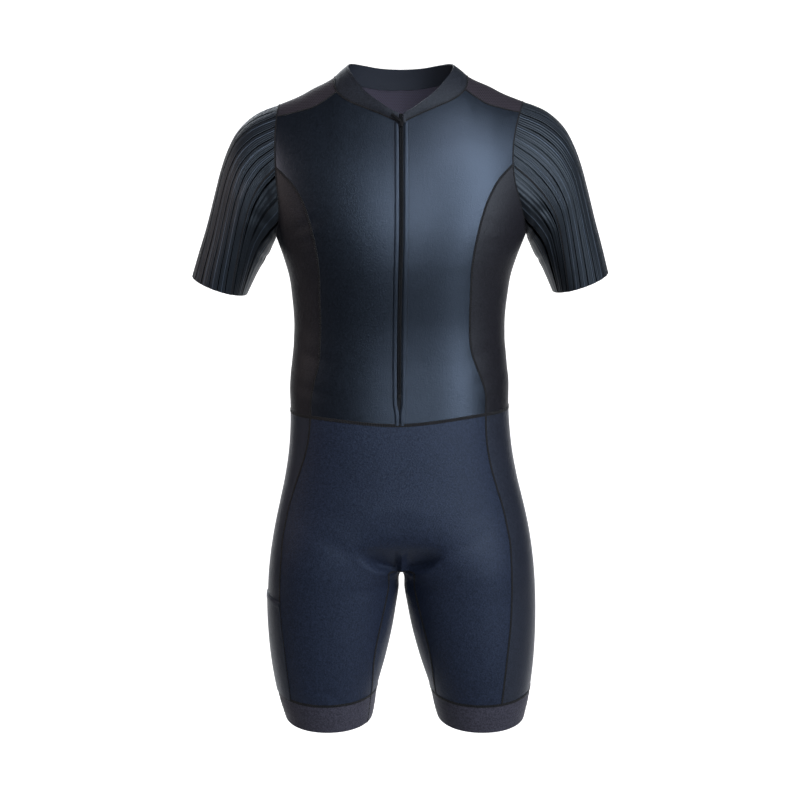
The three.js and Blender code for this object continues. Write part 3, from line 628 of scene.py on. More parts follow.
def neck(face, x):
    """The neckline's places at distances from the middle."""
    x = np.asarray(x, float)
    reach, slope, power = NECK_FRONT if face < 0 else NECK_BACK
    away = (reach - slope * x) * oval(x / NECK_HALF, power)
    low, high = np.full(x.shape, float(NECK_LOWEST_Z)), ridge_at(x)
    for _ in range(40):
        middle = (low + high) / 2
        deeper = depth(face < 0, x, middle) > away
        low, high = np.where(deeper, middle, low), np.where(deeper, high, middle)
    return pairs(turn_at(x, low, face), low)


def yoke_row(side, count):
    x = steps(YOKE_NECK_X, float(armhole_x(side, -1, YOKE_ARMHOLE_Z)), count)
    z = yoke_seam_at(x)
    z[-1] = YOKE_ARMHOLE_Z
    row = pairs(turn_at(x, z), z)
    row[0] = neck(-1, YOKE_NECK_X)
    return row


def ridge_row(face, count):
    x = steps(NECK_HALF, float(armhole_at(TIP_Z)), count)
    z = ridge_at(x)
    return pairs(turn_at(x, z, face), z)


def across(start, end, count, z):
    return pairs(steps(float(start), float(end), count), z)


def zip_edge(z):
    return mix(ZIP_CLOSED_EDGE, ZIP_EDGE, smooth((z - ZIP_STOP_Z + ZIP_PART_BELOW) / ZIP_PART_OVER))


# Meshes


# The cloth map's first place is this much more on a wall's inner side, so that a finish can tell the sides
# and paint the inner side lighter as painted light.
INSIDE_SHIFT = np.array([100.0, 0.0])
INSIDE_FROM = 50.0
# Points of one wall that fall together in steps of this many parts of a millimetre become one.
WELD_PARTS = 50
SHARP_CLOTH = 50
SHARP_PLATE = 35
# Profile of a flat sewn band: share of the half width, share of the height
BAND_SHAPE = ((-1, -0.35), (-0.86, 0.75), (-0.5, 1), (0, 1.06), (0.5, 1), (0.86, 0.75), (1, -0.35))
LIP_SHAPE = ((-1, -0.3), (-0.9, 0.7), (-0.45, 1), (0.3, 0.9), (0.85, 0.5), (1, -0.3))


def place_object(name, data):
    """An object in the scene for a mesh, a light or a camera."""
    made = bpy.data.objects.new(name, data)
    bpy.context.scene.collection.objects.link(made)
    return made


def shade_smooth(mesh, sharp_degrees):
    mesh.polygons.foreach_set("use_smooth", np.ones(len(mesh.polygons), bool))
    mesh.set_sharp_from_angle(angle=math.radians(sharp_degrees))
    mesh.update()


def mesh_object(name, points, faces, maps=None):
    """A smooth-shaded object from points in millimetres and quads."""
    mesh = bpy.data.meshes.new(name)
    mesh.vertices.add(len(points))
    mesh.vertices.foreach_set("co", (np.asarray(points, float) * MM).ravel())
    mesh.loops.add(faces.size)
    mesh.loops.foreach_set("vertex_index", faces.ravel())
    mesh.polygons.add(len(faces))
    mesh.polygons.foreach_set("loop_start", np.arange(0, faces.size, faces.shape[1]))
    mesh.update(calc_edges=True)
    mesh.validate()
    if maps is not None and len(mesh.loops) == maps.shape[0] * maps.shape[1]:
        layer = mesh.uv_layers.new(name="cloth")
        layer.data.foreach_set("uv", maps.reshape(-1, 2).ravel())
    shade_smooth(mesh, SHARP_CLOTH)
    return place_object(name, mesh)


def gather(grids):
    """The points, normals, map places and quads of several grids. Each quad faces as its normals do."""
    points, normals, places = (
        np.concatenate([grid[k].reshape(-1, grid[k].shape[-1]) for grid in grids]) for k in range(3)
    )
    quads = []
    start = 0
    for grid in grids:
        rows, columns = grid[0].shape[:2]
        index = np.arange(rows * columns).reshape(rows, columns) + start
        start += rows * columns
        face = np.stack([index[:-1, :-1], index[:-1, 1:], index[1:, 1:], index[1:, :-1]], -1).reshape(-1, 4)
        turned = np.cross(points[face[:, 1]] - points[face[:, 0]], points[face[:, 3]] - points[face[:, 0]])
        if (turned * normals[face[:, 0]]).sum() < 0:
            face = face[:, ::-1]
        quads.append(face)
    return points, normals, places, np.concatenate(quads)


def open_surface(name, grids):
    """A single-sided surface from grids, for thin bands that lie on the cloth."""
    points, _, places, quads = gather(grids)
    return mesh_object(name, points, quads, places[quads])


def shell(name, grids, thick, lift=0.0, raised=None):
    """A closed cloth wall from grids of points, normals and map places. It lies lift above them."""
    points, normals, places, quads = gather(grids)
    up = np.full(len(points), float(lift)) if raised is None else raised.reshape(-1) + lift
    parts = np.round(points * WELD_PARTS).astype(np.int64)
    _, first, same = np.unique(parts, axis=0, return_index=True, return_inverse=True)
    same = same.reshape(-1)
    total = np.zeros((len(first), 3))
    np.add.at(total, same, normals)
    total = unit(total)
    points, up = points[first], up[first]
    merged = same[quads]
    sound = np.array([len(set(q)) == 4 for q in merged.tolist()])
    merged, loops = merged[sound], quads[sound]
    count = len(points)
    sides = np.concatenate([merged[:, [k, (k + 1) % 4]] for k in range(4)])
    rim = sides[~np.isin(sides[:, 0] * count + sides[:, 1], sides[:, 1] * count + sides[:, 0])]
    walls = np.stack([rim[:, 1], rim[:, 0], rim[:, 0] + count, rim[:, 1] + count], -1)
    faces = np.concatenate([merged, merged[:, ::-1] + count, walls])
    rim_maps = places[first[rim][:, [1, 0, 0, 1]]]
    maps = np.concatenate([places[loops], places[loops[:, ::-1]] + INSIDE_SHIFT, rim_maps])
    both_sides = np.concatenate([points + total * up[:, None], points + total * (lift - thick)])
    return mesh_object(name, both_sides, faces, maps)


def strip_frame(points, normals, closed=False):
    """The sideways directions along a line on the cloth."""
    along = np.roll(points, -1, 0) - np.roll(points, 1, 0) if closed else np.gradient(points, axis=0)
    return unit(np.cross(normals, unit(along)))


def close_up(*rows):
    """Rows with their first entry again at the end."""
    return [np.concatenate([row, row[:1]]) for row in rows]


def band(points, normals, width, lift, closed=False, shape=BAND_SHAPE):
    """A grid for a flat sewn band along a line."""
    sideways = strip_frame(points, normals, closed)
    if closed:
        points, normals, sideways = close_up(points, normals, sideways)
    far = far_along(points)
    grid = np.stack([points + sideways * (s * width / 2) + normals * (h * lift) for s, h in shape], 1)
    reach = [s * width / 2 for s, _ in shape]
    place = np.stack([np.tile(reach, (len(far), 1)), np.tile(far[:, None], len(shape))], -1)
    return grid, np.repeat(normals[:, None], len(shape), 1), place * MM


# The flat cuts: finish, slot, size across and along in metres, area of the cut in square metres
SHEETS = {
    "front_panel": ("satin_knit", "satin_cloth", (0.21, 0.46), 0.0535),
    "side_panel": ("side_knit", "side_cloth", (0.29, 0.36), 0.062),
    "back_panel": ("open_mesh", "mesh_cloth", (0.42, 0.54), 0.14),
    "lower_front": ("matte_knit", "matte_cloth", (0.38, 0.43), 0.125),
    "lower_back": ("matte_knit", "matte_cloth", (0.4, 0.44), 0.122),
    "leg_side": ("leg_side_knit", "side_cloth", (0.21, 0.42), 0.067),
    "gusset": ("matte_knit", "matte_cloth", (0.21, 0.4), 0.044),
    "leg_band": ("band_knit", "band_cloth", (0.43, 0.042), 0.0175),
    "leg_pocket": ("leg_side_knit", "side_cloth", (0.17, 0.15), 0.0235),
    "sleeve": ("rib_knit", "ribbed_cloth", (0.3, 0.26), 0.06),
    "sleeve_under": ("fine_rib_knit", "ribbed_cloth", (0.18, 0.15), 0.0165),
    "collar": ("collar_knit", "collar_cloth", (0.52, 0.03), 0.0125),
    "zip_tape": ("zip_tape", "zip_tape_cloth", (0.024, 0.42), 0.0098),
}


def finish(made, material, node):
    """Gives a piece its material and its body, and hides the solid that it replaces."""
    made.data.materials.clear()
    made.data.materials.append(suit_material(material))
    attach(made, "pull_tab" if node == "zip_pull" else "suit")
    if node:
        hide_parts(node)


def cut_piece(sheet, name, grids, thick, side="", **more):
    """Makes a cut panel as a cloth wall, for one side or for both."""
    material, slot, flat, area = SHEETS[sheet]
    finish(shell(name + side, grids, thick, **more), material, sheet + side)


# Materials


class Value:
    """A number in a material. Sums on it add the nodes that work them out."""

    def __init__(self, owner, socket):
        self.finish = owner
        self.socket = socket

    def math(self, operation, *others):
        return self.finish.math(operation, self, *others)

    def held(self):
        """The number, held between 0 and 1."""
        return self.math("MAXIMUM", 0.0).math("MINIMUM", 1.0)

    def __add__(self, other):
        return self.math("ADD", other)

    def __sub__(self, other):
        return self.math("SUBTRACT", other)

    def __rsub__(self, other):
        return self.finish.math("SUBTRACT", other, self)

    def __mul__(self, other):
        return self.math("MULTIPLY", other)

    def __gt__(self, other):
        return self.math("GREATER_THAN", other)

    __radd__ = __add__
    __rmul__ = __mul__


class Finish:
    """A material in the making."""

    def __init__(self, name):
        self.material = bpy.data.materials.new(name)
        self.material.use_nodes = True
        self.tree = self.material.node_tree
        self.tree.nodes.clear()
        self.output = self.tree.nodes.new("ShaderNodeOutputMaterial")

    def node(self, kind, settings=None, inputs=None):
        node = self.tree.nodes.new(kind)
        for key, value in (settings or {}).items():
            setattr(node, key, value)
        for key, value in (inputs or {}).items():
            if isinstance(value, Value):
                self.tree.links.new(value.socket, node.inputs[key])
            elif isinstance(value, bpy.types.NodeSocket):
                self.tree.links.new(value, node.inputs[key])
            else:
                node.inputs[key].default_value = value
        return node

    def math(self, operation, *values):
        node = self.node("ShaderNodeMath", {"operation": operation}, dict(enumerate(values)))
        return Value(self, node.outputs[0])

    def colour(self, factor, low, high):
        node = self.node("ShaderNodeMix", {"data_type": "RGBA"}, {0: factor, 6: low, 7: high})
        return node.outputs[2]

    def noise(self, scale, detail, rough=0.5):
        place = self.node("ShaderNodeTexCoord").outputs["Object"]
        inputs = {"Vector": place, "Scale": scale, "Detail": detail, "Roughness": rough}
        return Value(self, self.node("ShaderNodeTexNoise", None, inputs).outputs[0])

    def cloth_place(self):
        """The across and along places of the cloth's own map, in metres."""
        place = self.node("ShaderNodeUVMap", {"uv_map": "cloth"}).outputs[0]
        split = self.node("ShaderNodeSeparateXYZ", None, {0: place})
        return Value(self, split.outputs[0]), Value(self, split.outputs[1])

    def shader(self, base, roughness, height=None, depth_m=0.0002, **constants):
        inputs = {"Base Color": base, "Roughness": roughness}
        if height is not None:
            bump = self.node("ShaderNodeBump", None, {"Height": height, "Distance": depth_m, "Strength": 1.0})
            inputs["Normal"] = bump.outputs[0]
        for key, value in constants.items():
            inputs[key.replace("_", " ")] = value
        principled = self.node("ShaderNodeBsdfPrincipled", None, inputs)
        self.tree.links.new(principled.outputs[0], self.output.inputs["Surface"])
        return self.material


def shade(colour, factor):
    return tuple(min(1.0, c * factor) for c in colour[:3]) + (1.0,)


def knit(name, colour, roughness, pitch, relief, sheen, specular, mottle, twill, tint, inside):
    """A fine stretch knit with soft unevenness: wales and courses at the given pitch in metres; inner side
    painted lighter as painted light.
    """
    f = Finish(name)
    crosswise, lengthwise = f.cloth_place()
    wave = 2 * math.pi / pitch
    lean = crosswise + lengthwise if twill else crosswise
    wales = (lean * wave).math("SINE")
    courses = (lengthwise * (wave * 0.8)).math("SINE")
    weave = wales * courses * 0.5 + 0.5
    cloud = f.noise(9, 4)
    grain = f.noise(900, 2)
    slub = f.noise(430, 3, 0.7)
    tone = (cloud - 0.5) * (mottle * 2.4) + (grain - 0.5) * 0.35 + (slub - 0.5) * 3.6
    tone = tone + (weave - 0.5) * 0.2 + 0.5
    base = f.colour(tone.held(), shade(colour, 0.58), shade(colour, 1.42))
    # The inner side is painted lighter: painted light standing in for light that reaches the suit's inside.
    if inside != 1.0:
        base = f.colour(crosswise > INSIDE_FROM, base, shade(colour, inside))
    rough = (grain - 0.5) * 0.14 + (slub - 0.5) * 0.22 + (cloud - 0.5) * 0.06 + roughness
    height = weave * 0.5 + grain * 0.3 + slub * 2.4
    return f.shader(
        base,
        rough,
        height,
        relief,
        Sheen_Weight=sheen,
        Sheen_Roughness=0.45,
        Sheen_Tint=shade(colour, 6),
        Specular_IOR_Level=specular,
        Specular_Tint=tint,
    )


MESH_PITCH = 0.0021


def mesh_knit(name, colour, inside):
    """An open sports mesh: rows of small holes painted darker as painted shade of the inside seen through
    them; inner side painted lighter as painted light from behind.
    """
    f = Finish(name)
    crosswise, lengthwise = f.cloth_place()
    row = (lengthwise * (1 / MESH_PITCH)).math("FLOOR")
    shift = row.math("MODULO", 2.0) * 0.5
    u = (crosswise * (1 / MESH_PITCH) + shift + 400).math("FRACT") - 0.5
    v = (lengthwise * (1 / MESH_PITCH) + 900).math("FRACT") - 0.5
    away = (u * u + v * v).math("SQRT")
    hole = 1 - (away * 3.4 - 0.55).held()
    cloud = f.noise(8, 3)
    grain = f.noise(1000, 2)
    # The holes take away from the tone on both sides of the wall: painted shade of the dark inside seen
    # through them.
    tone = 0.62 + (cloud - 0.5) * 0.4 + (grain - 0.5) * 0.3 - hole * 0.55
    outer = f.colour(tone.math("MAXIMUM", 0.0), shade(colour, 0.3), shade(colour, 1.35))
    # The inner side is painted lighter, towards a pale mauve: painted light standing in for light coming
    # through the mesh from behind.
    inner_painted_light = shade((0.88, 0.88, 1.4), 0.034 * inside)
    inner = f.colour(tone.math("MAXIMUM", 0.0), shade(colour, 0.5 * inside), inner_painted_light)
    base = f.colour(crosswise > INSIDE_FROM, outer, inner)
    return f.shader(
        base,
        hole * 0.2 + 0.58,
        (1 - hole) * 0.8 + grain * 0.2,
        0.00025,
        Sheen_Weight=0.02,
        Sheen_Roughness=0.5,
        Specular_IOR_Level=0.1,
    )


def ribbed(name, colour, groove, line, fine):
    """Sleeve cloth: the map's first place counts main ribs, with grooves darkened by painted shade, thin
    lines of painted highlight on some ribs, and fine ribs.
    """
    f = Finish(name)
    crosswise, lengthwise = f.cloth_place()
    part = crosswise.math("FRACT")
    from_middle = (part - 0.5).math("ABSOLUTE")
    # The grooves are painted near black and sunk in the bump: painted shade of their recesses.
    groove_shade = ((from_middle - (0.5 - groove)) * 30).held()
    number = crosswise.math("FLOOR")
    groove_pick = ((crosswise + 0.5).math("FLOOR") * 4.133).math("SINE").math("ABSOLUTE")
    fade = (f.noise(11, 2) - 0.34) * 3.2 + groove_pick * 0.6
    groove_shade = groove_shade * (fade.math("MAXIMUM", 0.15).math("MINIMUM", 1.0))
    # Thin pale lines on some ribs, raised a little in the bump and painted pale: painted highlight, as if
    # their ridges caught the light.
    pick = (number * 12.9898).math("SINE").math("ABSOLUTE")
    place = (pick - 0.5) * 0.34
    pale = 1 - ((part - 0.5 - place).math("ABSOLUTE") * (1 / line)).math("MINIMUM", 1.0)
    waver = f.noise(14, 3)
    pale = pale * (pick > 0.3) * ((waver - 0.34) * 5).held()
    ribs = (crosswise * (2 * math.pi * fine) - math.pi / 2).math("SINE") * 0.5 + 0.5
    courses = (lengthwise * (2 * math.pi / 0.0016)).math("SINE") * 0.5 + 0.5
    grain = f.noise(900, 2)
    cloud = f.noise(10, 3)
    tone = 0.34 + ribs * 0.28 + courses * 0.08 + (grain - 0.5) * 0.4 + (cloud - 0.5) * 0.45
    body_colour = f.colour(tone.math("MINIMUM", 1.0), shade(colour, 0.62), shade(colour, 1.5))
    ridge_highlighted = f.colour(pale * 0.9, body_colour, shade(colour, 18))
    base = f.colour(groove_shade * 0.93, ridge_highlighted, shade(colour, 0.1))
    height = ribs * 0.9 + courses * 0.15 + grain * 0.15 - groove_shade * 1.5 + pale * 0.8
    f.shader(
        base,
        (grain - 0.5) * 0.15 + 0.47,
        height,
        0.0004,
        Sheen_Weight=0.04,
        Sheen_Roughness=0.4,
        Specular_IOR_Level=0.62,
        Specular_Tint=(0.68, 0.82, 1.0, 1.0),
    )
    # A dark plain shader mixed in at the grooves: painted shade.
    groove_shadow = f.node("ShaderNodeBsdfDiffuse", None, {"Color": shade(colour, 0.06)})
    cloth = f.output.inputs["Surface"].links[0].from_socket
    both = f.node("ShaderNodeMixShader", None, {0: groove_shade, 1: cloth, 2: groove_shadow.outputs[0]})
    f.tree.links.new(both.outputs[0], f.output.inputs["Surface"])
    return f.material


def seam_finish(name, colour, pale):
    """A flat overlocked seam: looper threads that cross the band, darker at its edges."""
    f = Finish(name)
    crosswise, lengthwise = f.cloth_place()
    zig = ((lengthwise * (1 / 0.0024)).math("FRACT") - 0.5).math("ABSOLUTE") * 2
    thread = ((crosswise * 420).math("SINE") * 0.5 + zig * 1.2).math("FRACT")
    ladder = ((lengthwise * (2 * math.pi / 0.0022)).math("SINE") * 0.5 + 0.5)
    edge = (crosswise.math("ABSOLUTE") * (1 / 0.0023)).math("MINIMUM", 1.0)
    middle = 1 - (crosswise.math("ABSOLUTE") * (1 / 0.0005)).math("MINIMUM", 1.0)
    grain = f.noise(1200, 2)
    tone = 0.25 + ladder * 0.45 + thread * 0.15 + (grain - 0.5) * 0.3 - edge * 0.2 - middle * 0.35
    base = f.colour(tone.held(), colour, pale)
    return f.shader(
        base,
        (grain - 0.5) * 0.2 + 0.6,
        ladder * 0.7 + thread * 0.3 - middle * 0.5,
        0.0004,
        Sheen_Weight=0.05,
        Specular_IOR_Level=0.25,
    )


def thread_finish(name, colour):
    f = Finish(name)
    twist = f.noise(2600, 2)
    base = f.colour(twist, shade(colour, 0.55), shade(colour, 1.5))
    return f.shader(base, (twist - 0.5) * 0.2 + 0.5, twist, 0.0001, Specular_IOR_Level=0.5)


def hard_finish(name, colour, roughness):
    """Painted metal or moulded plastic with fine scuffs and worn, brighter high spots."""
    f = Finish(name)
    fine = f.noise(1400, 4, 0.7)
    worn = ((f.noise(320, 5, 0.65) - 0.66) * 5).held()
    base = f.colour(worn * 0.4 + fine * 0.2, shade(colour, 0.8), shade(colour, 2.2))
    return f.shader(
        base,
        (fine - 0.5) * 0.25 + roughness + worn * 0.08,
        fine * 0.4 + worn * 0.2,
        0.00006,
        Specular_IOR_Level=0.12,
    )


PLAIN_TINT = (0.8, 0.88, 1.0, 1.0)
BLUE_TINT = (0.6, 0.74, 1.0, 1.0)
SATIN_TINT = (0.55, 0.71, 1.0, 1.0)
# finish: colour, roughness, pitch and relief in metres, sheen, specular, mottle, twill, tint of the shine,
# and how many times lighter the inner side is painted, as painted light inside the suit
KNITS = {
    "satin_knit": ("satin", 0.4, 0.0017, 0.0001, 0.02, 0.95, 0.1, False, SATIN_TINT, 1.0),
    "matte_knit": ("matte", 0.5, 0.0019, 0.0002, 0.1, 0.45, 0.16, True, BLUE_TINT, 1.0),
    "side_knit": ("side", 0.5, 0.0018, 0.00014, 0.04, 0.42, 0.16, False, PLAIN_TINT, 1.0),
    "leg_side_knit": ("leg_side", 0.44, 0.0018, 0.0001, 0.05, 0.75, 0.16, False, BLUE_TINT, 1.0),
    # The collar's inner side is painted 1.9 times lighter: painted light.
    "collar_knit": ("collar", 0.6, 0.0018, 0.00014, 0.08, 0.3, 0.16, True, PLAIN_TINT, 1.9),
    "band_knit": ("band", 0.56, 0.002, 0.0002, 0.12, 0.3, 0.16, False, PLAIN_TINT, 1.0),
    "zip_tape": ("zip", 0.7, 0.0009, 0.0002, 0.2, 0.3, 0.16, False, PLAIN_TINT, 1.0),
}


def suit_material(key):
    """The named finish, made once."""
    found = bpy.data.materials.get(key)
    if found:
        return found

    def paint(name, factor=1.0):
        return shade(getattr(bpy.context.scene.suit_colours, name), factor)

    if key in KNITS:
        name, *rest = KNITS[key]
        return knit(key, paint(name), *rest)
    makers = {
        # The factor 6 sets how much lighter the mesh's inner side is painted: painted light.
        "open_mesh": lambda: mesh_knit(key, paint("mesh"), 6.0),
        # Sleeve arguments: groove share with its painted shade, width of the painted highlight lines, fine
        # ribs for each main rib.
        "rib_knit": lambda: ribbed(key, paint("ribbed"), 0.06, 0.034, 5),
        "fine_rib_knit": lambda: ribbed(key, paint("ribbed", 0.55), 0.1, 0.03, 3),
        "seam_thread": lambda: seam_finish(key, paint("thread", 0.5), paint("thread", 2.4)),
        "stitch_thread": lambda: thread_finish(key, paint("thread")),
        "zip_teeth": lambda: hard_finish(key, paint("zip"), 0.38),
        "slider_metal": lambda: hard_finish(key, paint("zip"), 0.42),
    }
    return makers[key]()


# Sizes and colours that a user would change


def amount(name, description, default, **more):
    return FloatProperty(name=name, description=description, default=default, **more)


def millimetres(name, description, default, low=0.0):
    return amount(name, description, default * MM, min=low, unit="LENGTH", precision=4)


def power(name, description, default):
    return amount(name, description, default, unit="POWER")


def colour(name, description, default):
    return FloatVectorProperty(
        name=name, description=description, default=default, size=3, min=0, max=1, subtype="COLOR"
    )


class SuitCloth(bpy.types.PropertyGroup):
    wall: millimetres("Cloth thickness", "Thickness of the cut panels", 1.0)
    collar_wall: millimetres("Collar thickness", "Thickness of the collar band", 1.8)
    band_wall: millimetres("Leg band thickness", "Thickness of the leg bands", 1.5)
    rib_height: millimetres("Rib height", "Height of the sleeve's main ribs", 0.8)
    spacing: millimetres("Mesh spacing", "Distance between points on the cloth", 4.2, 0.001)
    crease_strength: amount("Crease strength", "Height of the worn creases", 1.0, min=0, subtype="FACTOR")


class SuitSewing(bpy.types.PropertyGroup):
    seam_width: millimetres("Seam width", "Width of the flat overlocked seams", 4.4)
    seam_lift: millimetres("Seam height", "Height of the flat seams above the cloth", 0.5)
    stitch_pitch: millimetres("Stitch pitch", "Distance from stitch to stitch", 3.0, 0.0005)
    stitch_length: millimetres("Stitch length", "Length of one stitch", 2.2)
    stitch_width: millimetres("Stitch width", "Thickness of the thread", 0.5)


class SuitZip(bpy.types.PropertyGroup):
    tooth_pitch: millimetres("Tooth pitch", "Distance from tooth to tooth on one side", 1.7, 0.0003)
    tooth_length: millimetres("Tooth length", "Length of a tooth along the zip", 1.15)
    tooth_width: millimetres("Tooth width", "Reach of a tooth across the zip", 2.7)
    tooth_height: millimetres("Tooth height", "Height of a tooth", 1.4)


class SuitColours(bpy.types.PropertyGroup):
    satin: colour("Front panels", "Satin knit of the upper front", (0.0045, 0.006, 0.0095))
    matte: colour("Lower panels", "Matte knit of hips and legs", (0.0150, 0.0208, 0.0415))
    side: colour("Side panels", "Knit of the upper side panels", (0.0112, 0.0106, 0.0148))
    leg_side: colour("Leg sides", "Knit of the leg sides and the pocket", (0.0185, 0.0212, 0.033))
    mesh: colour("Back mesh", "Open mesh of the back and yokes", (0.044, 0.038, 0.050))
    ribbed: colour("Sleeves", "Ribbed knit of the sleeves", (0.0078, 0.0102, 0.0148))
    collar: colour("Collar", "Knit of the collar", (0.0165, 0.019, 0.027))
    band: colour("Leg bands", "Knit of the leg bands", (0.048, 0.0465, 0.067))
    thread: colour("Thread", "Seam and stitch thread", (0.0055, 0.006, 0.0085))
    zip: colour("Zip", "Tape, teeth and slider", (0.0065, 0.007, 0.0088))


class SuitStudio(bpy.types.PropertyGroup):
    camera_distance: amount("Camera distance", "From the suit to the camera", 2.5, unit="LENGTH")
    camera_tilt: amount("Camera tilt", "How far the camera looks down", math.radians(9.6703), subtype="ANGLE")
    key_power: power("Key light", "Power of the right softbox", 74)
    fill_power: power("Fill light", "Power of the front softbox", 32)
    side_power: power("Side light", "Power of the left softbox", 9)
    top_power: power("Top light", "Power of the light above", 17)
    back_power: power("Back light", "Power of the light behind", 34)
    backdrop_glow: amount("Backdrop glow", "Own light of the backdrop", 1.0)
    air_glow: amount("Room light", "Even light of the room", 0.03)


# Pieces


def rows_for(length):
    return max(2, int(round(length / (bpy.context.scene.suit_cloth.spacing / MM))))


def zip_line(x_top, count_low, count_high):
    top = float(neck(-1, np.array([x_top]))[0, 1])
    return np.concatenate([steps(WAIST_Z, ZIP_FINE_Z, count_low), steps(ZIP_FINE_Z, top, count_high)[1:]])


def front_grids(side, low, high, columns):
    z_lip = zip_line(ZIP_EDGE, low, high)
    z_tape = zip_line(ZIP_TAPE_HALF, low, high)
    lips = []
    for share in (0, 0.5, 1):
        z = mix(z_lip, z_tape, share)
        lips.append(pairs(turn_at(mix(zip_edge(z), ZIP_TAPE_HALF, share), z), z))
    lip = np.stack(lips, 1)
    seam_z = steps(WAIST_Z, ARMHOLE_JOIN_Z, low)
    arm = armhole(side, -1, steps(ARMHOLE_JOIN_Z, YOKE_ARMHOLE_Z, high))
    right = np.concatenate([front_seam(side, seam_z), arm[1:]])
    neck_x = np.linspace(ZIP_TAPE_HALF, YOKE_NECK_X, columns // 2 + 1)
    top = np.concatenate([neck(-1, neck_x), yoke_row(side, columns - columns // 2)[1:]])
    left = lip[:, -1]
    top[0] = left[-1]
    bottom = across(left[0, 0], right[0, 0], columns, WAIST_Z)
    return [body_grid(side, lip), body_grid(side, patch(bottom, top, left, right))]


def under_arm_z(t):
    """The armhole's height under the arm, from the front join to the back join."""
    return mix(ARMPIT_Z, ARMHOLE_JOIN_Z, np.abs(np.cos(math.pi * t)) ** 1.5)


def under_arm(side, count):
    t = steps(0, 1, count)
    z = under_arm_z(t)
    return np.where((t <= 0.5)[:, None], armhole(side, -1, z), armhole(side, 1, z))


def side_grid(side, rows, columns):
    z = steps(WAIST_Z, ARMHOLE_JOIN_Z, rows)
    left, right = front_seam(side, z), back_seam(z)
    bottom = across(left[0, 0], right[0, 0], columns, WAIST_Z)
    return body_grid(side, patch(bottom, under_arm(side, columns), left, right))


def back_grids(side, low, high, columns):
    z = steps(WAIST_Z, ARMHOLE_JOIN_Z, low)
    reach = mix(ARMHOLE_JOIN_Z, TIP_Z, closing(1.8, high))
    right = np.concatenate([back_seam(z), armhole(side, 1, reach)[1:]])
    neck_top = float(neck(1, np.array([0.0]))[0, 1])
    upper = mix(BACK_FINE_Z, neck_top, closing(1.8, high))
    left = pairs(2.0, np.concatenate([steps(WAIST_Z, BACK_FINE_Z, low), upper[1:]]))
    neck_x = NECK_HALF * np.sin(steps(0, math.pi / 2, columns // 2))
    top = np.concatenate([neck(1, neck_x), ridge_row(1, columns - columns // 2)[1:]])
    bottom = across(2, right[0, 0], columns, WAIST_Z)
    back = patch(bottom, top, left, right)
    yoke_columns = columns - columns // 2
    x = mix(YOKE_NECK_X, NECK_HALF, closing(3, YOKE_ROWS))
    shoulder = armhole(side, -1, mix(YOKE_ARMHOLE_Z, TIP_Z, closing(2, YOKE_ROWS)))
    yoke = patch(yoke_row(side, yoke_columns), ridge_row(-1, yoke_columns), neck(-1, x), shoulder)
    return [body_grid(side, back), body_grid(side, yoke)]


def leg_heights(count):
    return steps(BAND_SEAM_Z, GUSSET_TOP_Z, count)


def gusset_row(face, z, count):
    outer = inner_seam(face, np.array([z]))[0, 0]
    middle = 0 if face < 0 else 2
    return pairs(mix(middle, outer, steps(0, 1, count) ** 2), z)


def lower_grid(side, face, leg, gusset, centre, columns):
    middle = 0 if face < 0 else 2
    left = np.concatenate(
        [
            inner_seam(face, leg_heights(leg)),
            gusset_row(face, GUSSET_TOP_Z, gusset)[::-1][1:-1],
            pairs(float(middle), mix(GUSSET_TOP_Z, WAIST_Z, steps(0, 1, centre) ** 1.35)),
        ]
    )
    z = lower_heights(len(left) - 1)
    right = front_seam(side, z) if face < 0 else back_seam(z)
    bottom = across(left[0, 0], right[0, 0], columns, BAND_SEAM_Z)
    top = across(middle, right[-1, 0], columns, WAIST_Z)
    return body_grid(side, patch(bottom, top, left, right))


def lower_heights(count):
    pocket = int(round(count * POCKET_SHARE))
    upper = steps(POCKET_TOP_Z, WAIST_Z, count - pocket)
    return np.concatenate([steps(BAND_SEAM_Z, POCKET_TOP_Z, pocket), upper[1:]])


def leg_side_places(side, rows, columns):
    z = lower_heights(rows)
    left, right = front_seam(side, z), back_seam(z)
    bottom = across(left[0, 0], right[0, 0], columns, BAND_SEAM_Z)
    top = across(left[-1, 0], right[-1, 0], columns, WAIST_Z)
    return patch(bottom, top, left, right)


def pocket_places(columns):
    """The pocket's places on the right leg side, up to its opening."""
    return leg_side_places(-1, POCKET_ROWS, columns)[: int(round(POCKET_ROWS * POCKET_SHARE)) + 1]


def gusset_grid(side, face, leg, columns):
    z = leg_heights(leg)
    inside = np.concatenate([steps(BAND_SEAM_Z, CROTCH_Z, leg - 4), steps(CROTCH_Z, GUSSET_TOP_Z, 4)[1:]])
    rows = []
    for z_outer, z_inner in zip(z, inside):
        row = gusset_row(face, z_outer, columns)
        row[:, 1] = mix(z_inner, z_outer, steps(0, 1, columns))
        rows.append(row)
    return body_grid(side, np.stack(rows))


def ring_turns(side, columns):
    """The turns all round a leg, from the inside by the front to the inside again."""
    front = gusset_row(-1, BAND_SEAM_Z, 6)[:, 0]
    seam, rear = front_seam(side, np.array([BAND_SEAM_Z]))[0, 0], back_seam(np.array([BAND_SEAM_Z]))[0, 0]
    back = gusset_row(1, BAND_SEAM_Z, 6)[:, 0]
    return np.concatenate(
        [
            front,
            steps(front[-1], seam, columns)[1:],
            steps(seam, rear, columns)[1:],
            steps(rear, back[-1], columns)[1:],
            back[::-1][1:],
        ]
    )


def sleeve_outline(points):
    """A curve along an outline, by share of its length."""
    points = np.array(points, float)
    far = far_along(points)
    far /= far[-1]
    x, z = curve(np.stack([far, points[:, 0]], 1)), curve(np.stack([far, points[:, 1]], 1))
    return lambda share: np.stack([x(share), np.zeros(np.shape(share)), z(share)], -1)


outer_line = sleeve_outline(SLEEVE_OUTER)
inner_line = sleeve_outline(SLEEVE_INNER)
# Places round the armhole: the yoke seam, the shoulder's tip, the back join, and all round
AT_YOKE = 5
AT_TIP = 8
OVER = 16
ROUND = 24


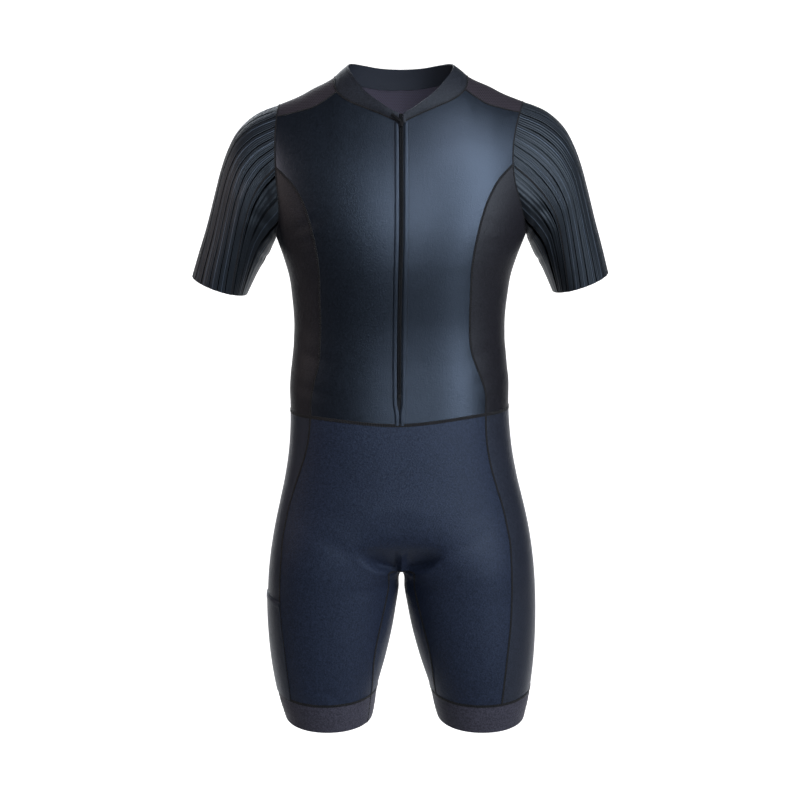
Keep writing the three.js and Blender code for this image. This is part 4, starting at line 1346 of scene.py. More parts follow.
def armhole_line(side, at):
    """Places on the armhole: 0 front join, 8 shoulder tip, 16 back join, 24 front join from under the arm."""
    at = np.clip(np.asarray(at, float), 0, ROUND)
    z_front = mix(ARMHOLE_JOIN_Z, YOKE_ARMHOLE_Z, np.clip(at / AT_YOKE, 0, 1))
    z_yoke = mix(YOKE_ARMHOLE_Z, TIP_Z, 1 - (1 - np.clip((at - AT_YOKE) / (AT_TIP - AT_YOKE), 0, 1)) ** 2)
    z_back = mix(ARMHOLE_JOIN_Z, TIP_Z, 1 - np.clip((at - AT_TIP) / (OVER - AT_TIP), 0, 1) ** 1.8)
    t = 1 - np.clip((at - OVER) / (ROUND - OVER), 0, 1)
    z = np.select([at <= AT_YOKE, at <= AT_TIP, at <= OVER], [z_front, z_yoke, z_back], under_arm_z(t))
    front = (at <= AT_TIP) | ((at > OVER) & (t <= 0.5))
    turn = np.where(front, turn_at(armhole_x(side, -1, z), z, -1), turn_at(armhole_at(z), z, 1))
    return turn, z


def ring_point(side, share, angle):
    top, low = outer_line(share), inner_line(share)
    centre, up = (top + low) / 2, (top - low) / 2
    out = unit(np.stack([up[..., 2], up[..., 1] * 0, -up[..., 0]], -1))
    dip = (CUFF_DIP * share * np.sin(angle))[..., None]
    back = SLEEVE_MIDDLE_Y + SLEEVE_BACK_SWING * share
    p = centre + up * np.cos(angle)[..., None] + out * dip
    y = back - sleeve_depth_at(share) * np.sin(angle)
    return settle(np.stack([side * p[..., 0], y, p[..., 2]], -1))


def sleeve_points(side, share, at):
    share, at = np.broadcast_arrays(np.asarray(share, float), np.asarray(at, float))
    at = np.mod(at, ROUND)

    def angle_of(where):
        turn, z = armhole_line(side, where)
        p, _ = body(side, turn, z, creased=False)
        tilt = SHOULDER_LIFT * np.tanh(SHOULDER_TILT * p[..., 0] / SHOULDER_LIFT)
        top, low = outer_line(0.0), inner_line(0.0)
        level = (p[..., 2] - tilt - (top[2] + low[2]) / 2) / ((top[2] - low[2]) / 2)
        angle = np.arctan2((SLEEVE_MIDDLE_Y - p[..., 1]) / sleeve_depth_at(0.0), level)
        return np.where((where > AT_TIP) & (angle > 0), angle - 2 * math.pi, angle), p

    angle, edge = angle_of(at)
    ends, _ = angle_of(np.array([0.0, float(OVER)]))
    front_join, back_join = ends
    cuff = math.radians(CUFF_UNDER_ANGLE)

    def remap(down):
        front, back = mix(front_join, cuff, down), mix(back_join, -cuff, down)
        over = mix(back, front, (angle - back_join) / (front_join - back_join))
        start = front_join - 2 * math.pi
        under = mix(front - 2 * math.pi, back, (angle - start) / (back_join - start))
        return np.where(angle >= back_join, over, under)

    here = ring_point(side, share, remap(share))
    first = ring_point(side, np.zeros(share.shape), remap(np.zeros(share.shape)))
    keep = 1 - smooth(share / ARMHOLE_BLEND)
    return here + (edge - first) * keep[..., None]


def sleeve(side, share, at):
    """Points and outward normals of a sleeve, with its creases."""
    share, at = np.broadcast_arrays(np.asarray(share, float), np.asarray(at, float))
    point = sleeve_points(side, share, at)
    around = sleeve_points(side, share, at + 0.3) - sleeve_points(side, share, at - 0.3)
    near, far = np.maximum(0, share - 0.015), np.minimum(1, share + 0.015)
    down = sleeve_points(side, far, at) - sleeve_points(side, near, at)
    normal = unit(np.cross(down, around))
    axis = (outer_line(share) + inner_line(share)) / 2 * np.array([side, 1, 1])
    outward = ((point - axis) * normal).sum(-1, keepdims=True)
    normal = np.where(outward < 0, -normal, normal)
    total = np.zeros(share.shape)
    for where, at1, s1, at2, s2, half, height in SLEEVE_CREASES:
        if where != side:
            continue
        du, dv = (at2 - at1) * SLEEVE_PLACE, (s2 - s1) * SLEEVE_LENGTH
        u, v = (at - at1) * SLEEVE_PLACE, (share - s1) * SLEEVE_LENGTH
        along = np.clip((u * du + v * dv) / (du**2 + dv**2), 0, 1)
        total += height * crease_shape(np.hypot(u - along * du, v - along * dv) / half)
    strength = bpy.context.scene.suit_cloth.crease_strength
    return point + normal * (total * strength)[..., None], normal


def collar_rows(count):
    """The collar's lower and upper edges, all round from the wearer's left front to the right front."""
    front_x = mix(ZIP_EDGE, NECK_HALF, closing(2.4, count))
    back_x = NECK_HALF * np.cos(steps(0, math.pi / 2, count))
    half = np.concatenate([neck(-1, front_x), neck(1, back_x)[1:]])
    base, _ = body(1, half[:, 0], half[:, 1], creased=False)
    far = far_along(base)
    rear = 90 + 90 * (far - far[count]) / (far[-1] - far[count])
    angle = np.where(np.arange(len(far)) <= count, 90 * far / far[count], rear)
    turn = np.radians(angle)
    reach = np.where(turn < math.pi / 2, COLLAR_FRONT, COLLAR_BACK)
    lows, highs = [], []
    for side in (1, -1):
        low, _ = body(side, half[:, 0], half[:, 1], creased=False)
        x = np.maximum(np.where(np.arange(len(far)) == len(far) - 1, 0, ZIP_EDGE), COLLAR_HALF * np.sin(turn))
        high = settle(np.stack([side * x, COLLAR_MID_Y - reach * np.cos(turn), collar_top_at(angle)], -1))
        lows.append(low)
        highs.append(high)
    low = np.concatenate([lows[0], lows[1][::-1][1:]])
    high = np.concatenate([highs[0], highs[1][::-1][1:]])
    return low, high


def collar_frame(count):
    """The collar's lower and upper edges, its upward and its outward directions."""
    low, high = collar_rows(count)
    up = unit(high - low)
    out = unit(np.cross(unit(np.gradient(low, axis=0)), up))
    return low, high, up, -out if out[0, 1] > 0 else out


def collar_grid(count, rows):
    """The collar's wall, bulged out a little between its edges."""
    low, high = collar_rows(count)
    t = steps(0, 1, rows)[:, None, None]
    grid = mix(low[None], high[None], t)
    around = np.gradient(grid, axis=1)
    up = np.broadcast_to((high - low)[None], grid.shape)
    normal = unit(np.cross(around, up))
    if (normal[0, 0] * np.array([0, -1, 0])).sum() < 0:
        normal = -normal
    bulge = COLLAR_BULGE * np.sin(math.pi * t[..., 0])[..., None]
    place = np.stack(np.broadcast_arrays(far_along(low)[None] * MM, t[..., 0] * COLLAR_MAP_UP), -1)
    return grid + normal * bulge, normal, place


# Stitches and teeth along lines


# The sizes of the rounded shapes, in metres, with what they are when nothing else is given
SHAPE_SIZES = {"Pitch": 0.003, "Length": 0.002, "Width": 0.0005, "Height": 0.0005}
SHAPE_NODES = {
    "given": "NodeGroupInput",
    "lines": "GeometryNodeMeshToCurve",
    "spaced": "GeometryNodeResampleCurve",
    "ball": "GeometryNodeMeshUVSphere",
    "size": "ShaderNodeCombineXYZ",
    "shaped": "GeometryNodeTransform",
    "tangent": "GeometryNodeInputTangent",
    "facing": "GeometryNodeInputNamedAttribute",
    "along": "FunctionNodeAlignRotationToVector",
    "outward": "FunctionNodeAlignRotationToVector",
    "placed": "GeometryNodeInstanceOnPoints",
    "real": "GeometryNodeRealizeInstances",
    "smooth": "GeometryNodeSetShadeSmooth",
    "painted": "GeometryNodeSetMaterial",
    "result": "NodeGroupOutput",
}
# node, its output, next node, its input
SHAPE_LINKS = (
    ("given", "Geometry", "lines", "Mesh"),
    ("lines", "Curve", "spaced", "Curve"),
    ("given", "Pitch", "spaced", "Length"),
    ("given", "Segments", "ball", "Segments"),
    ("given", "Length", "size", "X"),
    ("given", "Width", "size", "Y"),
    ("given", "Height", "size", "Z"),
    ("ball", "Mesh", "shaped", "Geometry"),
    ("size", "Vector", "shaped", "Scale"),
    ("tangent", "Tangent", "along", "Vector"),
    ("along", "Rotation", "outward", "Rotation"),
    ("facing", "Attribute", "outward", "Vector"),
    ("spaced", "Curve", "placed", "Points"),
    ("shaped", "Geometry", "placed", "Instance"),
    ("outward", "Rotation", "placed", "Rotation"),
    ("placed", "Instances", "real", "Geometry"),
    ("real", "Geometry", "smooth", "Geometry"),
    ("smooth", "Geometry", "painted", "Geometry"),
    ("given", "Material", "painted", "Material"),
    ("painted", "Geometry", "result", "Geometry"),
)


def shape_tree():
    """Geometry nodes that lay small rounded shapes along every line of a mesh."""
    tree = bpy.data.node_groups.get("rounded_shapes_on_lines")
    if tree:
        return tree
    tree = bpy.data.node_groups.new("rounded_shapes_on_lines", "GeometryNodeTree")
    tree.is_modifier = True
    face = tree.interface
    face.new_socket("Geometry", in_out="INPUT", socket_type="NodeSocketGeometry")
    for name, default in SHAPE_SIZES.items():
        face.new_socket(name, in_out="INPUT", socket_type="NodeSocketFloat").default_value = default
    face.new_socket("Segments", in_out="INPUT", socket_type="NodeSocketInt").default_value = 6
    face.new_socket("Material", in_out="INPUT", socket_type="NodeSocketMaterial")
    face.new_socket("Geometry", in_out="OUTPUT", socket_type="NodeSocketGeometry")
    nodes = {name: tree.nodes.new(kind) for name, kind in SHAPE_NODES.items()}
    nodes["spaced"].mode = "LENGTH"
    nodes["ball"].inputs["Rings"].default_value = 4
    nodes["ball"].inputs["Radius"].default_value = 0.5
    nodes["facing"].data_type = "FLOAT_VECTOR"
    nodes["facing"].inputs["Name"].default_value = "facing"
    nodes["along"].axis = "X"
    nodes["outward"].axis = "Z"
    nodes["outward"].pivot_axis = "X"
    for node, out, following, into in SHAPE_LINKS:
        tree.links.new(nodes[node].outputs[out], nodes[following].inputs[into])
    return tree


def laid_on_lines(name, lines, sizes, segments, material):
    """A plain mesh of rounded shapes on lines. The sizes are their pitch, length, width and height."""
    points, normals = (np.concatenate([line[k] for line in lines]) for k in (0, 1))
    edges, start = [], 0
    for line, _ in lines:
        edges += [(start + i, start + i + 1) for i in range(len(line) - 1)]
        start += len(line)
    mesh = bpy.data.meshes.new(name + "_lines")
    mesh.from_pydata((points * MM).tolist(), edges, [])
    attribute = mesh.attributes.new("facing", "FLOAT_VECTOR", "POINT")
    attribute.data.foreach_set("vector", normals.astype(np.float32).ravel())
    source = place_object(name + "_lines", mesh)
    modifier = source.modifiers.new("lay", "NODES")
    modifier.node_group = shape_tree()
    values = dict(zip(SHAPE_SIZES, sizes), Segments=segments, Material=suit_material(material))
    for item in modifier.node_group.interface.items_tree:
        if item.item_type == "SOCKET" and item.in_out == "INPUT" and item.name in values:
            modifier[item.identifier] = values[item.name]
    graph = bpy.context.evaluated_depsgraph_get()
    plain = bpy.data.meshes.new_from_object(source.evaluated_get(graph))
    plain.name = name
    bpy.data.objects.remove(source)
    if not len(plain.polygons):
        raise RuntimeError(name + " came out empty")
    return place_object(name, plain)


# Each kind of seam's share of the full seam width
SEAM_SHARES = {
    "upper": 0.85,
    "lower": 0.75,
    "yoke": 0.55,
    "inner_leg": 0.75,
    "band": 1.0,
    "band_join": 0.6,
    "armhole": 0.5,
    "sleeve": 0.6,
    "crotch": 0.62,
    "collar": 0.5,
    "waist": 1.1,
}
# How far the armhole's seam faces as the body does, and the rest as the sleeve does
ARMHOLE_BODY_SHARE = 0.6


def seam_lines():
    """Every sewn line of the suit: points, normals, whether it closes and its share of the seam width."""
    lines = []

    def sew(kind, points, normals, closed=False):
        lines.append((points, normals, closed, SEAM_SHARES[kind]))

    def both_sides(left, right):
        return (np.concatenate([left[k], right[k]]) for k in (0, 1))

    z_up, z_low = steps(WAIST_Z, ARMHOLE_JOIN_Z, 120), steps(BAND_SEAM_Z, WAIST_Z, 130)
    z_leg, z_band = leg_heights(70), steps(HEM_Z, BAND_SEAM_Z, 12)
    at = np.linspace(0, ROUND, 220, endpoint=False)
    for side in (1, -1):
        for kind, z in (("upper", z_up), ("lower", z_low)):
            sew(kind, *on_body(side, front_seam(side, z)))
            sew(kind, *on_body(side, back_seam(z)))
        sew("yoke", *on_body(side, yoke_row(side, 40)))
        for face in (-1, 1):
            sew("inner_leg", *on_body(side, inner_seam(face, z_leg)))
        sew("band", *body(side, ring_turns(side, 40)[:-1], BAND_SEAM_Z), True)
        join_turn = float(inner_seam(-1 if side < 0 else 1, np.array([BAND_SEAM_Z]))[0, 0])
        sew("band_join", *body(side, join_turn, z_band))
        point, on_cloth = body(side, *armhole_line(side, at))
        _, on_sleeve = sleeve(side, SLEEVE_SEAM_FROM, at)
        sew("armhole", point, unit(mix(on_sleeve, on_cloth, ARMHOLE_BODY_SHARE)), True)
        for place in (0.0, float(OVER)):
            sew("sleeve", *sleeve(side, steps(SLEEVE_SEAM_FROM, 1, 60), place))
    for face in (-1, 1):
        row = gusset_row(face, GUSSET_TOP_Z, 12)
        sew("crotch", *both_sides(on_body(-1, row[::-1]), on_body(1, row[1:])))
    low, _, up, out = collar_frame(80)
    sew("collar", low + up * COLLAR_SEAM_UP + out * COLLAR_SEAM_LIFT, out)
    turn = np.linspace(0, 2, 160)
    sew("waist", *both_sides(body(1, turn, WAIST_Z), body(-1, turn[::-1][1:-1], WAIST_Z)), True)
    return lines


# Steps of the making


class SUIT_OT_upper(bpy.types.Operator):
    """Cut the upper front, side and back panels"""

    bl_idname = "suit.upper_panels"
    bl_label = "Upper panels"

    def execute(self, context):
        wall = context.scene.suit_cloth.wall / MM
        low, high, across_back = rows_for(UPPER_LENGTH), rows_for(YOKE_LENGTH), rows_for(BACK_ACROSS)
        across_front, across_side = rows_for(FRONT_ACROSS), rows_for(SIDE_ACROSS)
        for end, side in SIDES:
            cut_piece("front_panel", "cloth_front", front_grids(side, low, high, across_front), wall, end)
            cut_piece("side_panel", "cloth_side", [side_grid(side, low, across_side)], wall, end)
        grids = back_grids(1, low, high, across_back) + back_grids(-1, low, high, across_back)
        cut_piece("back_panel", "cloth_back", grids, wall)
        return {"FINISHED"}


class SUIT_OT_lower(bpy.types.Operator):
    """Cut the lower front and back, the leg sides and the gusset"""

    bl_idname = "suit.lower_panels"
    bl_label = "Lower panels"

    def execute(self, context):
        wall = context.scene.suit_cloth.wall / MM
        leg, centre, columns = rows_for(LEG_LENGTH), rows_for(SEAT_LENGTH), rows_for(LOWER_ACROSS)
        for name, face in (("front", -1), ("back", 1)):
            grids = [lower_grid(side, face, leg, GUSSET_COLUMNS, centre, columns) for side in (1, -1)]
            cut_piece("lower_" + name, "cloth_lower_" + name, grids, wall)
        rows = leg + GUSSET_COLUMNS - 1 + centre
        for end, side in SIDES:
            places = leg_side_places(side, rows, rows_for(LEG_SIDE_ACROSS))
            cut_piece("leg_side", "cloth_leg_side", [body_grid(side, places)], wall, end)
        grids = [gusset_grid(side, face, leg, GUSSET_COLUMNS) for side in (1, -1) for face in (-1, 1)]
        cut_piece("gusset", "cloth_gusset", grids, wall)
        return {"FINISHED"}


class SUIT_OT_legs(bpy.types.Operator):
    """Sew on the leg bands and the leg pocket"""

    bl_idname = "suit.leg_bands_and_pocket"
    bl_label = "Leg bands and pocket"

    def execute(self, context):
        band_wall = context.scene.suit_cloth.band_wall / MM
        for end, side in SIDES:
            turns = ring_turns(side, 40)
            z = steps(HEM_Z, BAND_SEAM_Z, 14)[:, None]
            point, normal = body(side, turns[None], z)
            share = (z - HEM_Z) / (BAND_SEAM_Z - HEM_Z)
            roll = 0.35 * np.sin(math.pi * np.clip(share * 1.1, 0, 1)) + 0.25 * np.sin(share * BAND_WAVES)
            place = np.stack(np.broadcast_arrays(turns[None] * BAND_MAP_TURN, z * MM), -1)
            grid = (point + normal * roll[..., None], normal, place)
            cut_piece("leg_band", "cloth_leg_band", [grid], band_wall, end, lift=BAND_LIFT)
        places = pocket_places(rows_for(LEG_SIDE_ACROSS))
        cut_piece("leg_pocket", "cloth_pocket", [body_grid(-1, places)], POCKET_WALL, lift=POCKET_LIFT)
        top, normal = body(-1, places[-1][:, 0], POCKET_TOP_Z - POCKET_HEM / 2)
        hem = band(top + normal * POCKET_LIFT, normal, POCKET_HEM, 0.5)
        finish(open_surface("pocket_hem", [hem]), "leg_side_knit", None)
        return {"FINISHED"}


class SUIT_OT_sleeves(bpy.types.Operator):
    """Set in the ribbed sleeves and the under-sleeve panels"""

    bl_idname = "suit.sleeves"
    bl_label = "Sleeves"

    def execute(self, context):
        cloth = context.scene.suit_cloth
        wall = cloth.wall / MM
        # The rows are closer together at the armhole, where the ribs rise.
        share = np.concatenate([[0, 0.012, 0.03], steps(RIB_FULL_SHARE, 1, 56)])[:, None]
        for end, side in SIDES:
            at = steps(0, OVER, RIB_COUNT * RIB_COLUMNS)[None]
            point, normal = sleeve(side, share, at)
            rib = at * RIB_COUNT / OVER
            part = np.minimum(rib % 1, 1 - rib % 1)
            raised = cloth.rib_height / MM * smooth(part / RIB_GROOVE_SHARE) * smooth(share / RIB_FULL_SHARE)
            place = np.stack(np.broadcast_arrays(rib, share * SLEEVE_LENGTH * MM), -1)
            cut_piece("sleeve", "cloth_sleeve", [(point, normal, place)], wall, end, raised=raised)
            at = steps(OVER, ROUND - 1e-6, 60)[None]
            point, normal = sleeve(side, share, at)
            place = np.stack(np.broadcast_arrays(at, share * UNDER_SLEEVE_LENGTH * MM), -1)
            cut_piece("sleeve_under", "cloth_under_sleeve", [(point, normal, place)], wall, end)
        return {"FINISHED"}


class SUIT_OT_collar(bpy.types.Operator):
    """Stand up the collar band"""

    bl_idname = "suit.collar"
    bl_label = "Collar"

    def execute(self, context):
        cut_piece("collar", "cloth_collar", [collar_grid(60, 10)], context.scene.suit_cloth.collar_wall / MM)
        return {"FINISHED"}


class SUIT_OT_seams(bpy.types.Operator):
    """Sew the flat seams, with their rows of stitches"""

    bl_idname = "suit.seams"
    bl_label = "Seams"

    def execute(self, context):
        sewing = context.scene.suit_sewing
        bands, rows = [], []
        for points, normals, closed, share in seam_lines():
            width, lift = sewing.seam_width / MM * share, sewing.seam_lift / MM
            bands.append(band(points, normals, width, lift, closed))
            sideways = strip_frame(points, normals, closed)
            for row in (-SEAM_STITCH_SHARE, SEAM_STITCH_SHARE):
                line = points + sideways * (row * width) + normals * (lift * 1.1)
                rows.append(close_up(line, normals) if closed else (line, normals))
        finish(open_surface("flat_seams", bands), "seam_thread", None)
        z = zip_line(ZIP_EDGE, 90, 30)
        for side in (1, -1):
            point, normal = body(side, turn_at(ZIP_STITCH_X, z), z)
            rows.append((point + normal * ZIP_STITCH_LIFT, normal))
        low, high, up, out = collar_frame(80)
        rows.append((low + up * COLLAR_STITCH_UP + out * COLLAR_STITCH_LIFT, out))
        rows.append((high - up * COLLAR_TOP_STITCH_DOWN + out * COLLAR_TOP_STITCH_LIFT, out))
        top, normal = body(-1, pocket_places(60)[-1][:, 0], POCKET_TOP_Z - POCKET_STITCH_DOWN)
        rows.append((top + normal * (POCKET_LIFT + POCKET_STITCH_LIFT), normal))
        sizes = (sewing.stitch_pitch, sewing.stitch_length, sewing.stitch_width, sewing.stitch_width * 0.7)
        made = laid_on_lines("stitches", rows, sizes, 5, "stitch_thread")
        finish(made, "stitch_thread", None)
        return {"FINISHED"}


def chain_line():
    """The zip's middle line, from the bottom stop to the collar's top."""
    top = float(neck(-1, np.array([ZIP_EDGE]))[0, 1])
    z = steps(ZIP_STOP_Z + 1, top, 150)
    point, normal = body(1, turn_at(ZIP_CLOSED_EDGE, z), z)
    point[:, 0] = sway_at(z)
    normal[:, 0] = 0
    low, high = collar_rows(20)
    base, tip = (low[0] + low[-1]) / 2, (high[0] + high[-1]) / 2
    face = unit(np.cross([1.0, 0, 0], tip - base))
    face = -face if face[1] > 0 else face
    rise = mix(base, tip, steps(0, 1, 8)[1:, None]) - face * 0.6
    return np.concatenate([point, rise]), unit(np.concatenate([normal, np.tile(face, (8, 1))]))


def zip_seat(z, below=0.0):
    """A seat on the zip: origin, right, up and outward directions, as on the solids."""
    low = np.array([z - below])
    point, normal = body(1, turn_at(ZIP_CLOSED_EDGE, low), low, creased=False)
    out = unit(normal[0] * np.array([0, 1, 1]))
    up = np.array([0, -out[2], out[1]])
    up = -up if up[2] < 0 else up
    return np.array([float(sway_at(z)), point[0, 1], point[0, 2]]), np.cross(up, out), up, out


def rounded(points, radius, count=5):
    """A closed outline with each corner rounded."""
    points = [np.array(p, float) for p in points]
    result = []
    for i, corner in enumerate(points):
        before = unit(points[i - 1] - corner) * radius
        after = unit(points[(i + 1) % len(points)] - corner) * radius
        for t in np.linspace(0, 1, count):
            result.append(corner + before * (1 - t) ** 2 + after * t**2)
    return result


def tapered(*rows):
    """An outline that is even on both sides, from rows of half width and height."""
    return [(-x, y) for x, y in rows[:1]] + list(rows) + [(-x, y) for x, y in rows[:0:-1]]


# Hard plates of the zip: outline, corner radius, under side, top and bevel, from the plate's seat
PLATES = {
    "zip_slider_body": (tapered((2.5, -4.5), (3.5, 0.9), (2.7, 4.5)), 0.9, 0.9, 2.5, 0.35),
    "bridge": (tapered((0.9, -3.2), (0.9, 2.9)), 0.5, 2.3, 3.3, 0.3),
    "zip_pull_tab": (tapered((1.55, 0), (2.2, 5.1), (1.8, 17)), 0.8, 3.6, 4.7, 0.3),
    "grip": (tapered((1.1, 7), (0.95, 15)), 0.6, 4.6, 4.95, 0.15),
    "zip_bottom_stop": (tapered((2.5, -3), (2.5, 3)), 0.7, -1.2, 1.1, 0.4),
}


def plate(name, seat, lean=0.0, rise=0.0):
    """A bevelled plate, seated square to the cloth and turned on its seat."""
    outline, radius, low, high, bevel = PLATES[name]
    origin, right, up, out = seat
    turned = np.array([[math.cos(lean), math.sin(lean)], [-math.sin(lean), math.cos(lean)]])
    work = bmesh.new()
    ring = [p @ turned + np.array([0, rise]) for p in rounded(outline, radius)]
    face = work.faces.new([work.verts.new((x, y, low)) for x, y in ring])
    if face.normal.z > 0:
        face.normal_flip()
    raised = bmesh.ops.extrude_face_region(work, geom=[face])
    tops = [v for v in raised["geom"] if isinstance(v, bmesh.types.BMVert)]
    bmesh.ops.translate(work, verts=tops, vec=(0, 0, high - low))
    bmesh.ops.recalc_face_normals(work, faces=work.faces)
    bmesh.ops.bevel(work, geom=list(work.edges), offset=bevel, segments=3, profile=0.6, affect="EDGES")
    bmesh.ops.triangulate(work, faces=[f for f in work.faces if len(f.verts) > 4])
    mesh = bpy.data.meshes.new(name)
    work.to_mesh(mesh)
    work.free()
    turn = Matrix(np.stack([right, up, out], 1).tolist()).to_4x4()
    turn.translation = Vector(origin.tolist())
    mesh.transform(Matrix.Scale(MM, 4) @ turn)
    shade_smooth(mesh, SHARP_PLATE)
    return place_object(name, mesh)


def join(first, second):
    """Joins the second mesh into the first."""
    work = bmesh.new()
    work.from_mesh(first.data)
    work.from_mesh(second.data)
    work.to_mesh(first.data)
    work.free()
    shade_smooth(first.data, SHARP_PLATE)
    bpy.data.objects.remove(second)


class SUIT_OT_zip(bpy.types.Operator):
    """Fit the zip: tape, lips, teeth, stop, slider and pull tab"""

    bl_idname = "suit.zip"
    bl_label = "Zip"

    def execute(self, context):
        self.tape()
        self.teeth(context.scene.suit_zip)
        self.lips()
        self.hard_parts()
        return {"FINISHED"}

    def tape(self):
        z_lip, z_tape = zip_line(ZIP_EDGE, 80, 30), zip_line(ZIP_TAPE_HALF, 80, 30)
        columns = []
        for side, reach, z in (
            (-1, ZIP_TAPE_HALF, z_tape),
            (-1, zip_edge(z_lip), z_lip),
            (1, zip_edge(z_lip), z_lip),
            (1, ZIP_TAPE_HALF, z_tape),
        ):
            columns.append(body(side, turn_at(reach, z), z, creased=False))
        point, normal = (np.stack([c[k] for c in columns], 1) for k in (0, 1))
        x = np.array([-ZIP_TAPE_HALF, -ZIP_EDGE, ZIP_EDGE, ZIP_TAPE_HALF])
        place = np.stack(np.broadcast_arrays(x[None] * MM, z_lip[:, None] * MM), -1)
        grid = (point, normal, place)
        cut_piece("zip_tape", "zip_tape_cloth", [grid], ZIP_TAPE_WALL, lift=ZIP_TAPE_LIFT)

    def teeth(self, size):
        line, face = chain_line()
        sideways = strip_frame(line, face)
        far = far_along(line)
        rows = []
        for side, shift in ((-1, 0), (1, size.tooth_pitch / MM / 2)):
            where = np.linspace(shift, far[-1], 260)
            placed = []
            for values in (line, face, sideways):
                placed.append(np.stack([np.interp(where, far, values[:, k]) for k in range(3)], 1))
            point, normal, aside = placed
            rows.append((point + aside * (side * TOOTH_ASIDE) - normal * TOOTH_SINK, normal))
        sizes = (size.tooth_pitch, size.tooth_length, size.tooth_width, size.tooth_height)
        made = laid_on_lines("zip_teeth", rows, sizes, 8, "zip_teeth")
        finish(made, "zip_teeth", "zip_chain")
        cord = open_surface("zip_cord", [band(line - face * ZIP_CORD_SINK, face, ZIP_CORD_WIDTH, 0.3)])
        finish(cord, "zip_tape", None)

    def lips(self):
        """The turned front edges beside the teeth, and the collar's end strips."""
        z = zip_line(ZIP_EDGE, 90, 30)
        lips = []
        for side in (-1, 1):
            point, normal = body(side, turn_at(zip_edge(z) + ZIP_LIP_ASIDE, z), z)
            lips.append(band(point, normal, ZIP_LIP_WIDTH, 0.75, shape=LIP_SHAPE))
        finish(open_surface("zip_lips", lips), "satin_knit", None)
        low, high, _, out = collar_frame(60)
        strips = []
        for end, inward in ((0, 1), (-1, -1)):
            aside = np.array([inward * COLLAR_END_ASIDE, 0, 0])
            line = mix(low[end], high[end], steps(0, 0.96, 6)[:, None]) + aside + out[end] * 0.2
            strips.append(band(line, np.tile(out[end], (7, 1)), COLLAR_END_WIDTH, 0.7))
        finish(open_surface("collar_ends", strips), "collar_knit", None)

    def hard_parts(self):
        seat = zip_seat(SLIDER_Z)
        slider = plate("zip_slider_body", seat)
        join(slider, plate("bridge", seat))
        finish(slider, "slider_metal", "zip_slider")
        lean = math.radians(TAB_LEAN)
        tab = plate("zip_pull_tab", seat, lean, TAB_UP)
        join(tab, plate("grip", seat, lean, TAB_UP))
        finish(tab, "slider_metal", "zip_pull")
        stop = plate("zip_bottom_stop", zip_seat(ZIP_STOP_Z, ZIP_STOP_HEIGHT / 2))
        finish(stop, "zip_teeth", "zip_stop")


# The studio, in metres: the paper's floor, where it lies flat, its back, top, half width and curve
FLOOR_Z = -2.3
PAPER_FRONT_Y = -0.6
PAPER_FLAT_Y = 0.6
PAPER_BACK_Y = 4.4
PAPER_TOP_Z = 1.7
PAPER_HALF = 3.0
PAPER_RADIUS = 1.2
# Where the paper's own glow begins and how fast it grows towards the back
GLOW_FROM_Y = 1.4
GLOW_GROWTH = 1.6
LIGHTS_AIM = (0, 0, -0.45)
# name, place, width and height, its power's name in the settings, colour
LIGHTS = (
    ("key_softbox", (1.95, -2.15, 0.5), (0.9, 3.2), "key_power", (0.93, 0.97, 1.0)),
    ("centre_softbox", (0.12, -2.9, 0.5), (0.4, 2.4), "fill_power", (0.95, 0.98, 1.0)),
    ("left_softbox", (-2.0, 0.1, 0.25), (0.4, 0.9), "side_power", (1.0, 0.8, 0.72)),
    ("top_light", (0.9, -1.5, 1.9), (1.1, 0.9), "top_power", (0.97, 0.98, 1.0)),
    ("back_light", (-0.9, 2.6, 1.3), (1.4, 1.6), "back_power", (0.9, 0.95, 1.0)),
)
CAMERA_X = -0.0021
CAMERA_Z = -0.025
CAMERA_LENS = 80.367


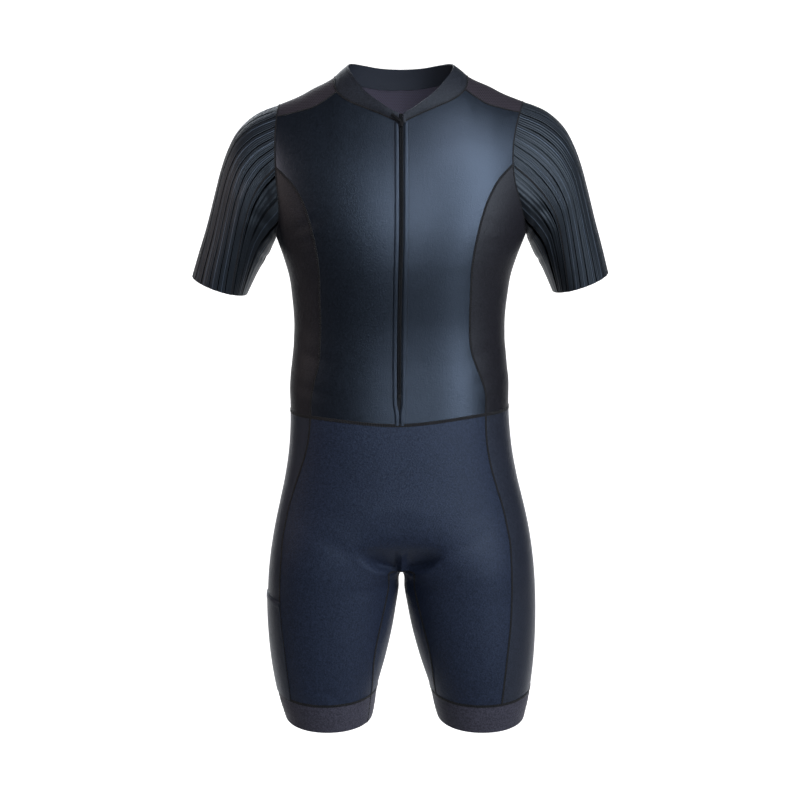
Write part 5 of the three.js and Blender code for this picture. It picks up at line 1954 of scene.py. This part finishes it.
class SUIT_OT_stage(bpy.types.Operator):
    """Set up the floor, the backdrop, the lights and the camera"""

    bl_idname = "suit.stage"
    bl_label = "Studio"

    def execute(self, context):
        studio = context.scene.suit_studio
        self.backdrop(studio)
        self.air(context.scene, studio)
        self.lights(studio)
        self.camera(context.scene, studio)
        context.scene.view_settings.view_transform = "Standard"
        return {"FINISHED"}

    def backdrop(self, studio):
        bend_y, bend_z = PAPER_BACK_Y - PAPER_RADIUS, FLOOR_Z + PAPER_RADIUS
        profile = [(PAPER_FRONT_Y, FLOOR_Z), (PAPER_FLAT_Y, FLOOR_Z), (bend_y, FLOOR_Z)]
        for angle in np.linspace(0, math.pi / 2, 16)[1:]:
            profile.append((bend_y + PAPER_RADIUS * math.sin(angle), bend_z - PAPER_RADIUS * math.cos(angle)))
        profile.append((PAPER_BACK_Y, PAPER_TOP_Z))
        points = np.array([(x, y, z) for y, z in profile for x in (-PAPER_HALF, PAPER_HALF)]) / MM
        index = np.arange(len(points)).reshape(-1, 2)
        quads = np.stack([index[:-1, 0], index[:-1, 1], index[1:, 1], index[1:, 0]], -1)
        floor = mesh_object("studio_backdrop", points, quads)
        f = Finish("studio_paper")
        base = f.colour(f.noise(3, 3), (0.6, 0.6, 0.61, 1), (0.64, 0.64, 0.645, 1))
        place = f.node("ShaderNodeTexCoord").outputs["Object"]
        along = Value(f, f.node("ShaderNodeSeparateXYZ", None, {0: place}).outputs[1])
        white = ((along - GLOW_FROM_Y) * GLOW_GROWTH).held()
        glow = f.colour(white, (0.02, 0.02, 0.02, 1), (1, 1, 1, 1))
        glowing = {"Emission_Color": glow, "Emission_Strength": studio.backdrop_glow}
        floor.data.materials.append(f.shader(base, 0.9, **glowing, Specular_IOR_Level=0.1))

    def air(self, scene, studio):
        """A faint even light, with plain white where the camera looks past the paper."""
        scene.world = bpy.data.worlds.new("studio_air")
        scene.world.use_nodes = True
        nodes, links = scene.world.node_tree.nodes, scene.world.node_tree.links
        light, seen = nodes["Background"], nodes.new("ShaderNodeBackground")
        light.inputs[0].default_value = (0.9, 0.94, 1.0, 1)
        light.inputs[1].default_value = studio.air_glow
        seen.inputs[0].default_value = (1.0, 1.0, 1.0, 1)
        either = nodes.new("ShaderNodeMixShader")
        links.new(nodes.new("ShaderNodeLightPath").outputs["Is Camera Ray"], either.inputs[0])
        links.new(light.outputs[0], either.inputs[1])
        links.new(seen.outputs[0], either.inputs[2])
        links.new(either.outputs[0], nodes["World Output"].inputs[0])

    def lights(self, studio):
        for name, place, size, power_name, tint in LIGHTS:
            data = bpy.data.lights.new(name, "AREA")
            data.shape = "RECTANGLE"
            data.size, data.size_y = size
            data.energy = getattr(studio, power_name)
            data.color = tint
            lamp = place_object(name, data)
            lamp.location = place
            lamp.rotation_euler = (Vector(LIGHTS_AIM) - Vector(place)).to_track_quat("-Z", "Y").to_euler()

    def camera(self, scene, studio):
        view = bpy.data.cameras.new("front_camera")
        view.sensor_width = 36
        view.lens = CAMERA_LENS
        scene.camera = place_object("front_camera", view)
        scene.camera.location = (CAMERA_X, -studio.camera_distance, CAMERA_Z)
        scene.camera.rotation_euler = (math.pi / 2 - studio.camera_tilt, 0, 0)


STEPS = (
    SUIT_OT_stage,
    SUIT_OT_upper,
    SUIT_OT_lower,
    SUIT_OT_legs,
    SUIT_OT_sleeves,
    SUIT_OT_collar,
    SUIT_OT_seams,
    SUIT_OT_zip,
)
GROUPS = {
    "suit_cloth": SuitCloth,
    "suit_sewing": SuitSewing,
    "suit_zip": SuitZip,
    "suit_colours": SuitColours,
    "suit_studio": SuitStudio,
}


class SUIT_PT_panel(bpy.types.Panel):
    """The suit's sizes, colours and steps"""

    bl_label = "Triathlon suit"
    bl_idname = "SUIT_PT_panel"
    bl_space_type = "VIEW_3D"
    bl_region_type = "UI"
    bl_category = "Triathlon suit"

    def draw(self, context):
        for key, group in GROUPS.items():
            box = self.layout.box()
            for name in group.__annotations__:
                box.prop(getattr(context.scene, key), name)
        for step in STEPS:
            self.layout.operator(step.bl_idname)


def register():
    for cls in (*GROUPS.values(), *STEPS, SUIT_PT_panel):
        bpy.utils.register_class(cls)
    for key, group in GROUPS.items():
        setattr(bpy.types.Scene, key, PointerProperty(type=group))


def unregister():
    for key in GROUPS:
        delattr(bpy.types.Scene, key)
    for cls in reversed((*GROUPS.values(), *STEPS, SUIT_PT_panel)):
        bpy.utils.unregister_class(cls)


def main():
    register()
    for step in STEPS:
        group, name = step.bl_idname.split(".")
        getattr(getattr(bpy.ops, group), name)()


if __name__ == "__main__":
    main()
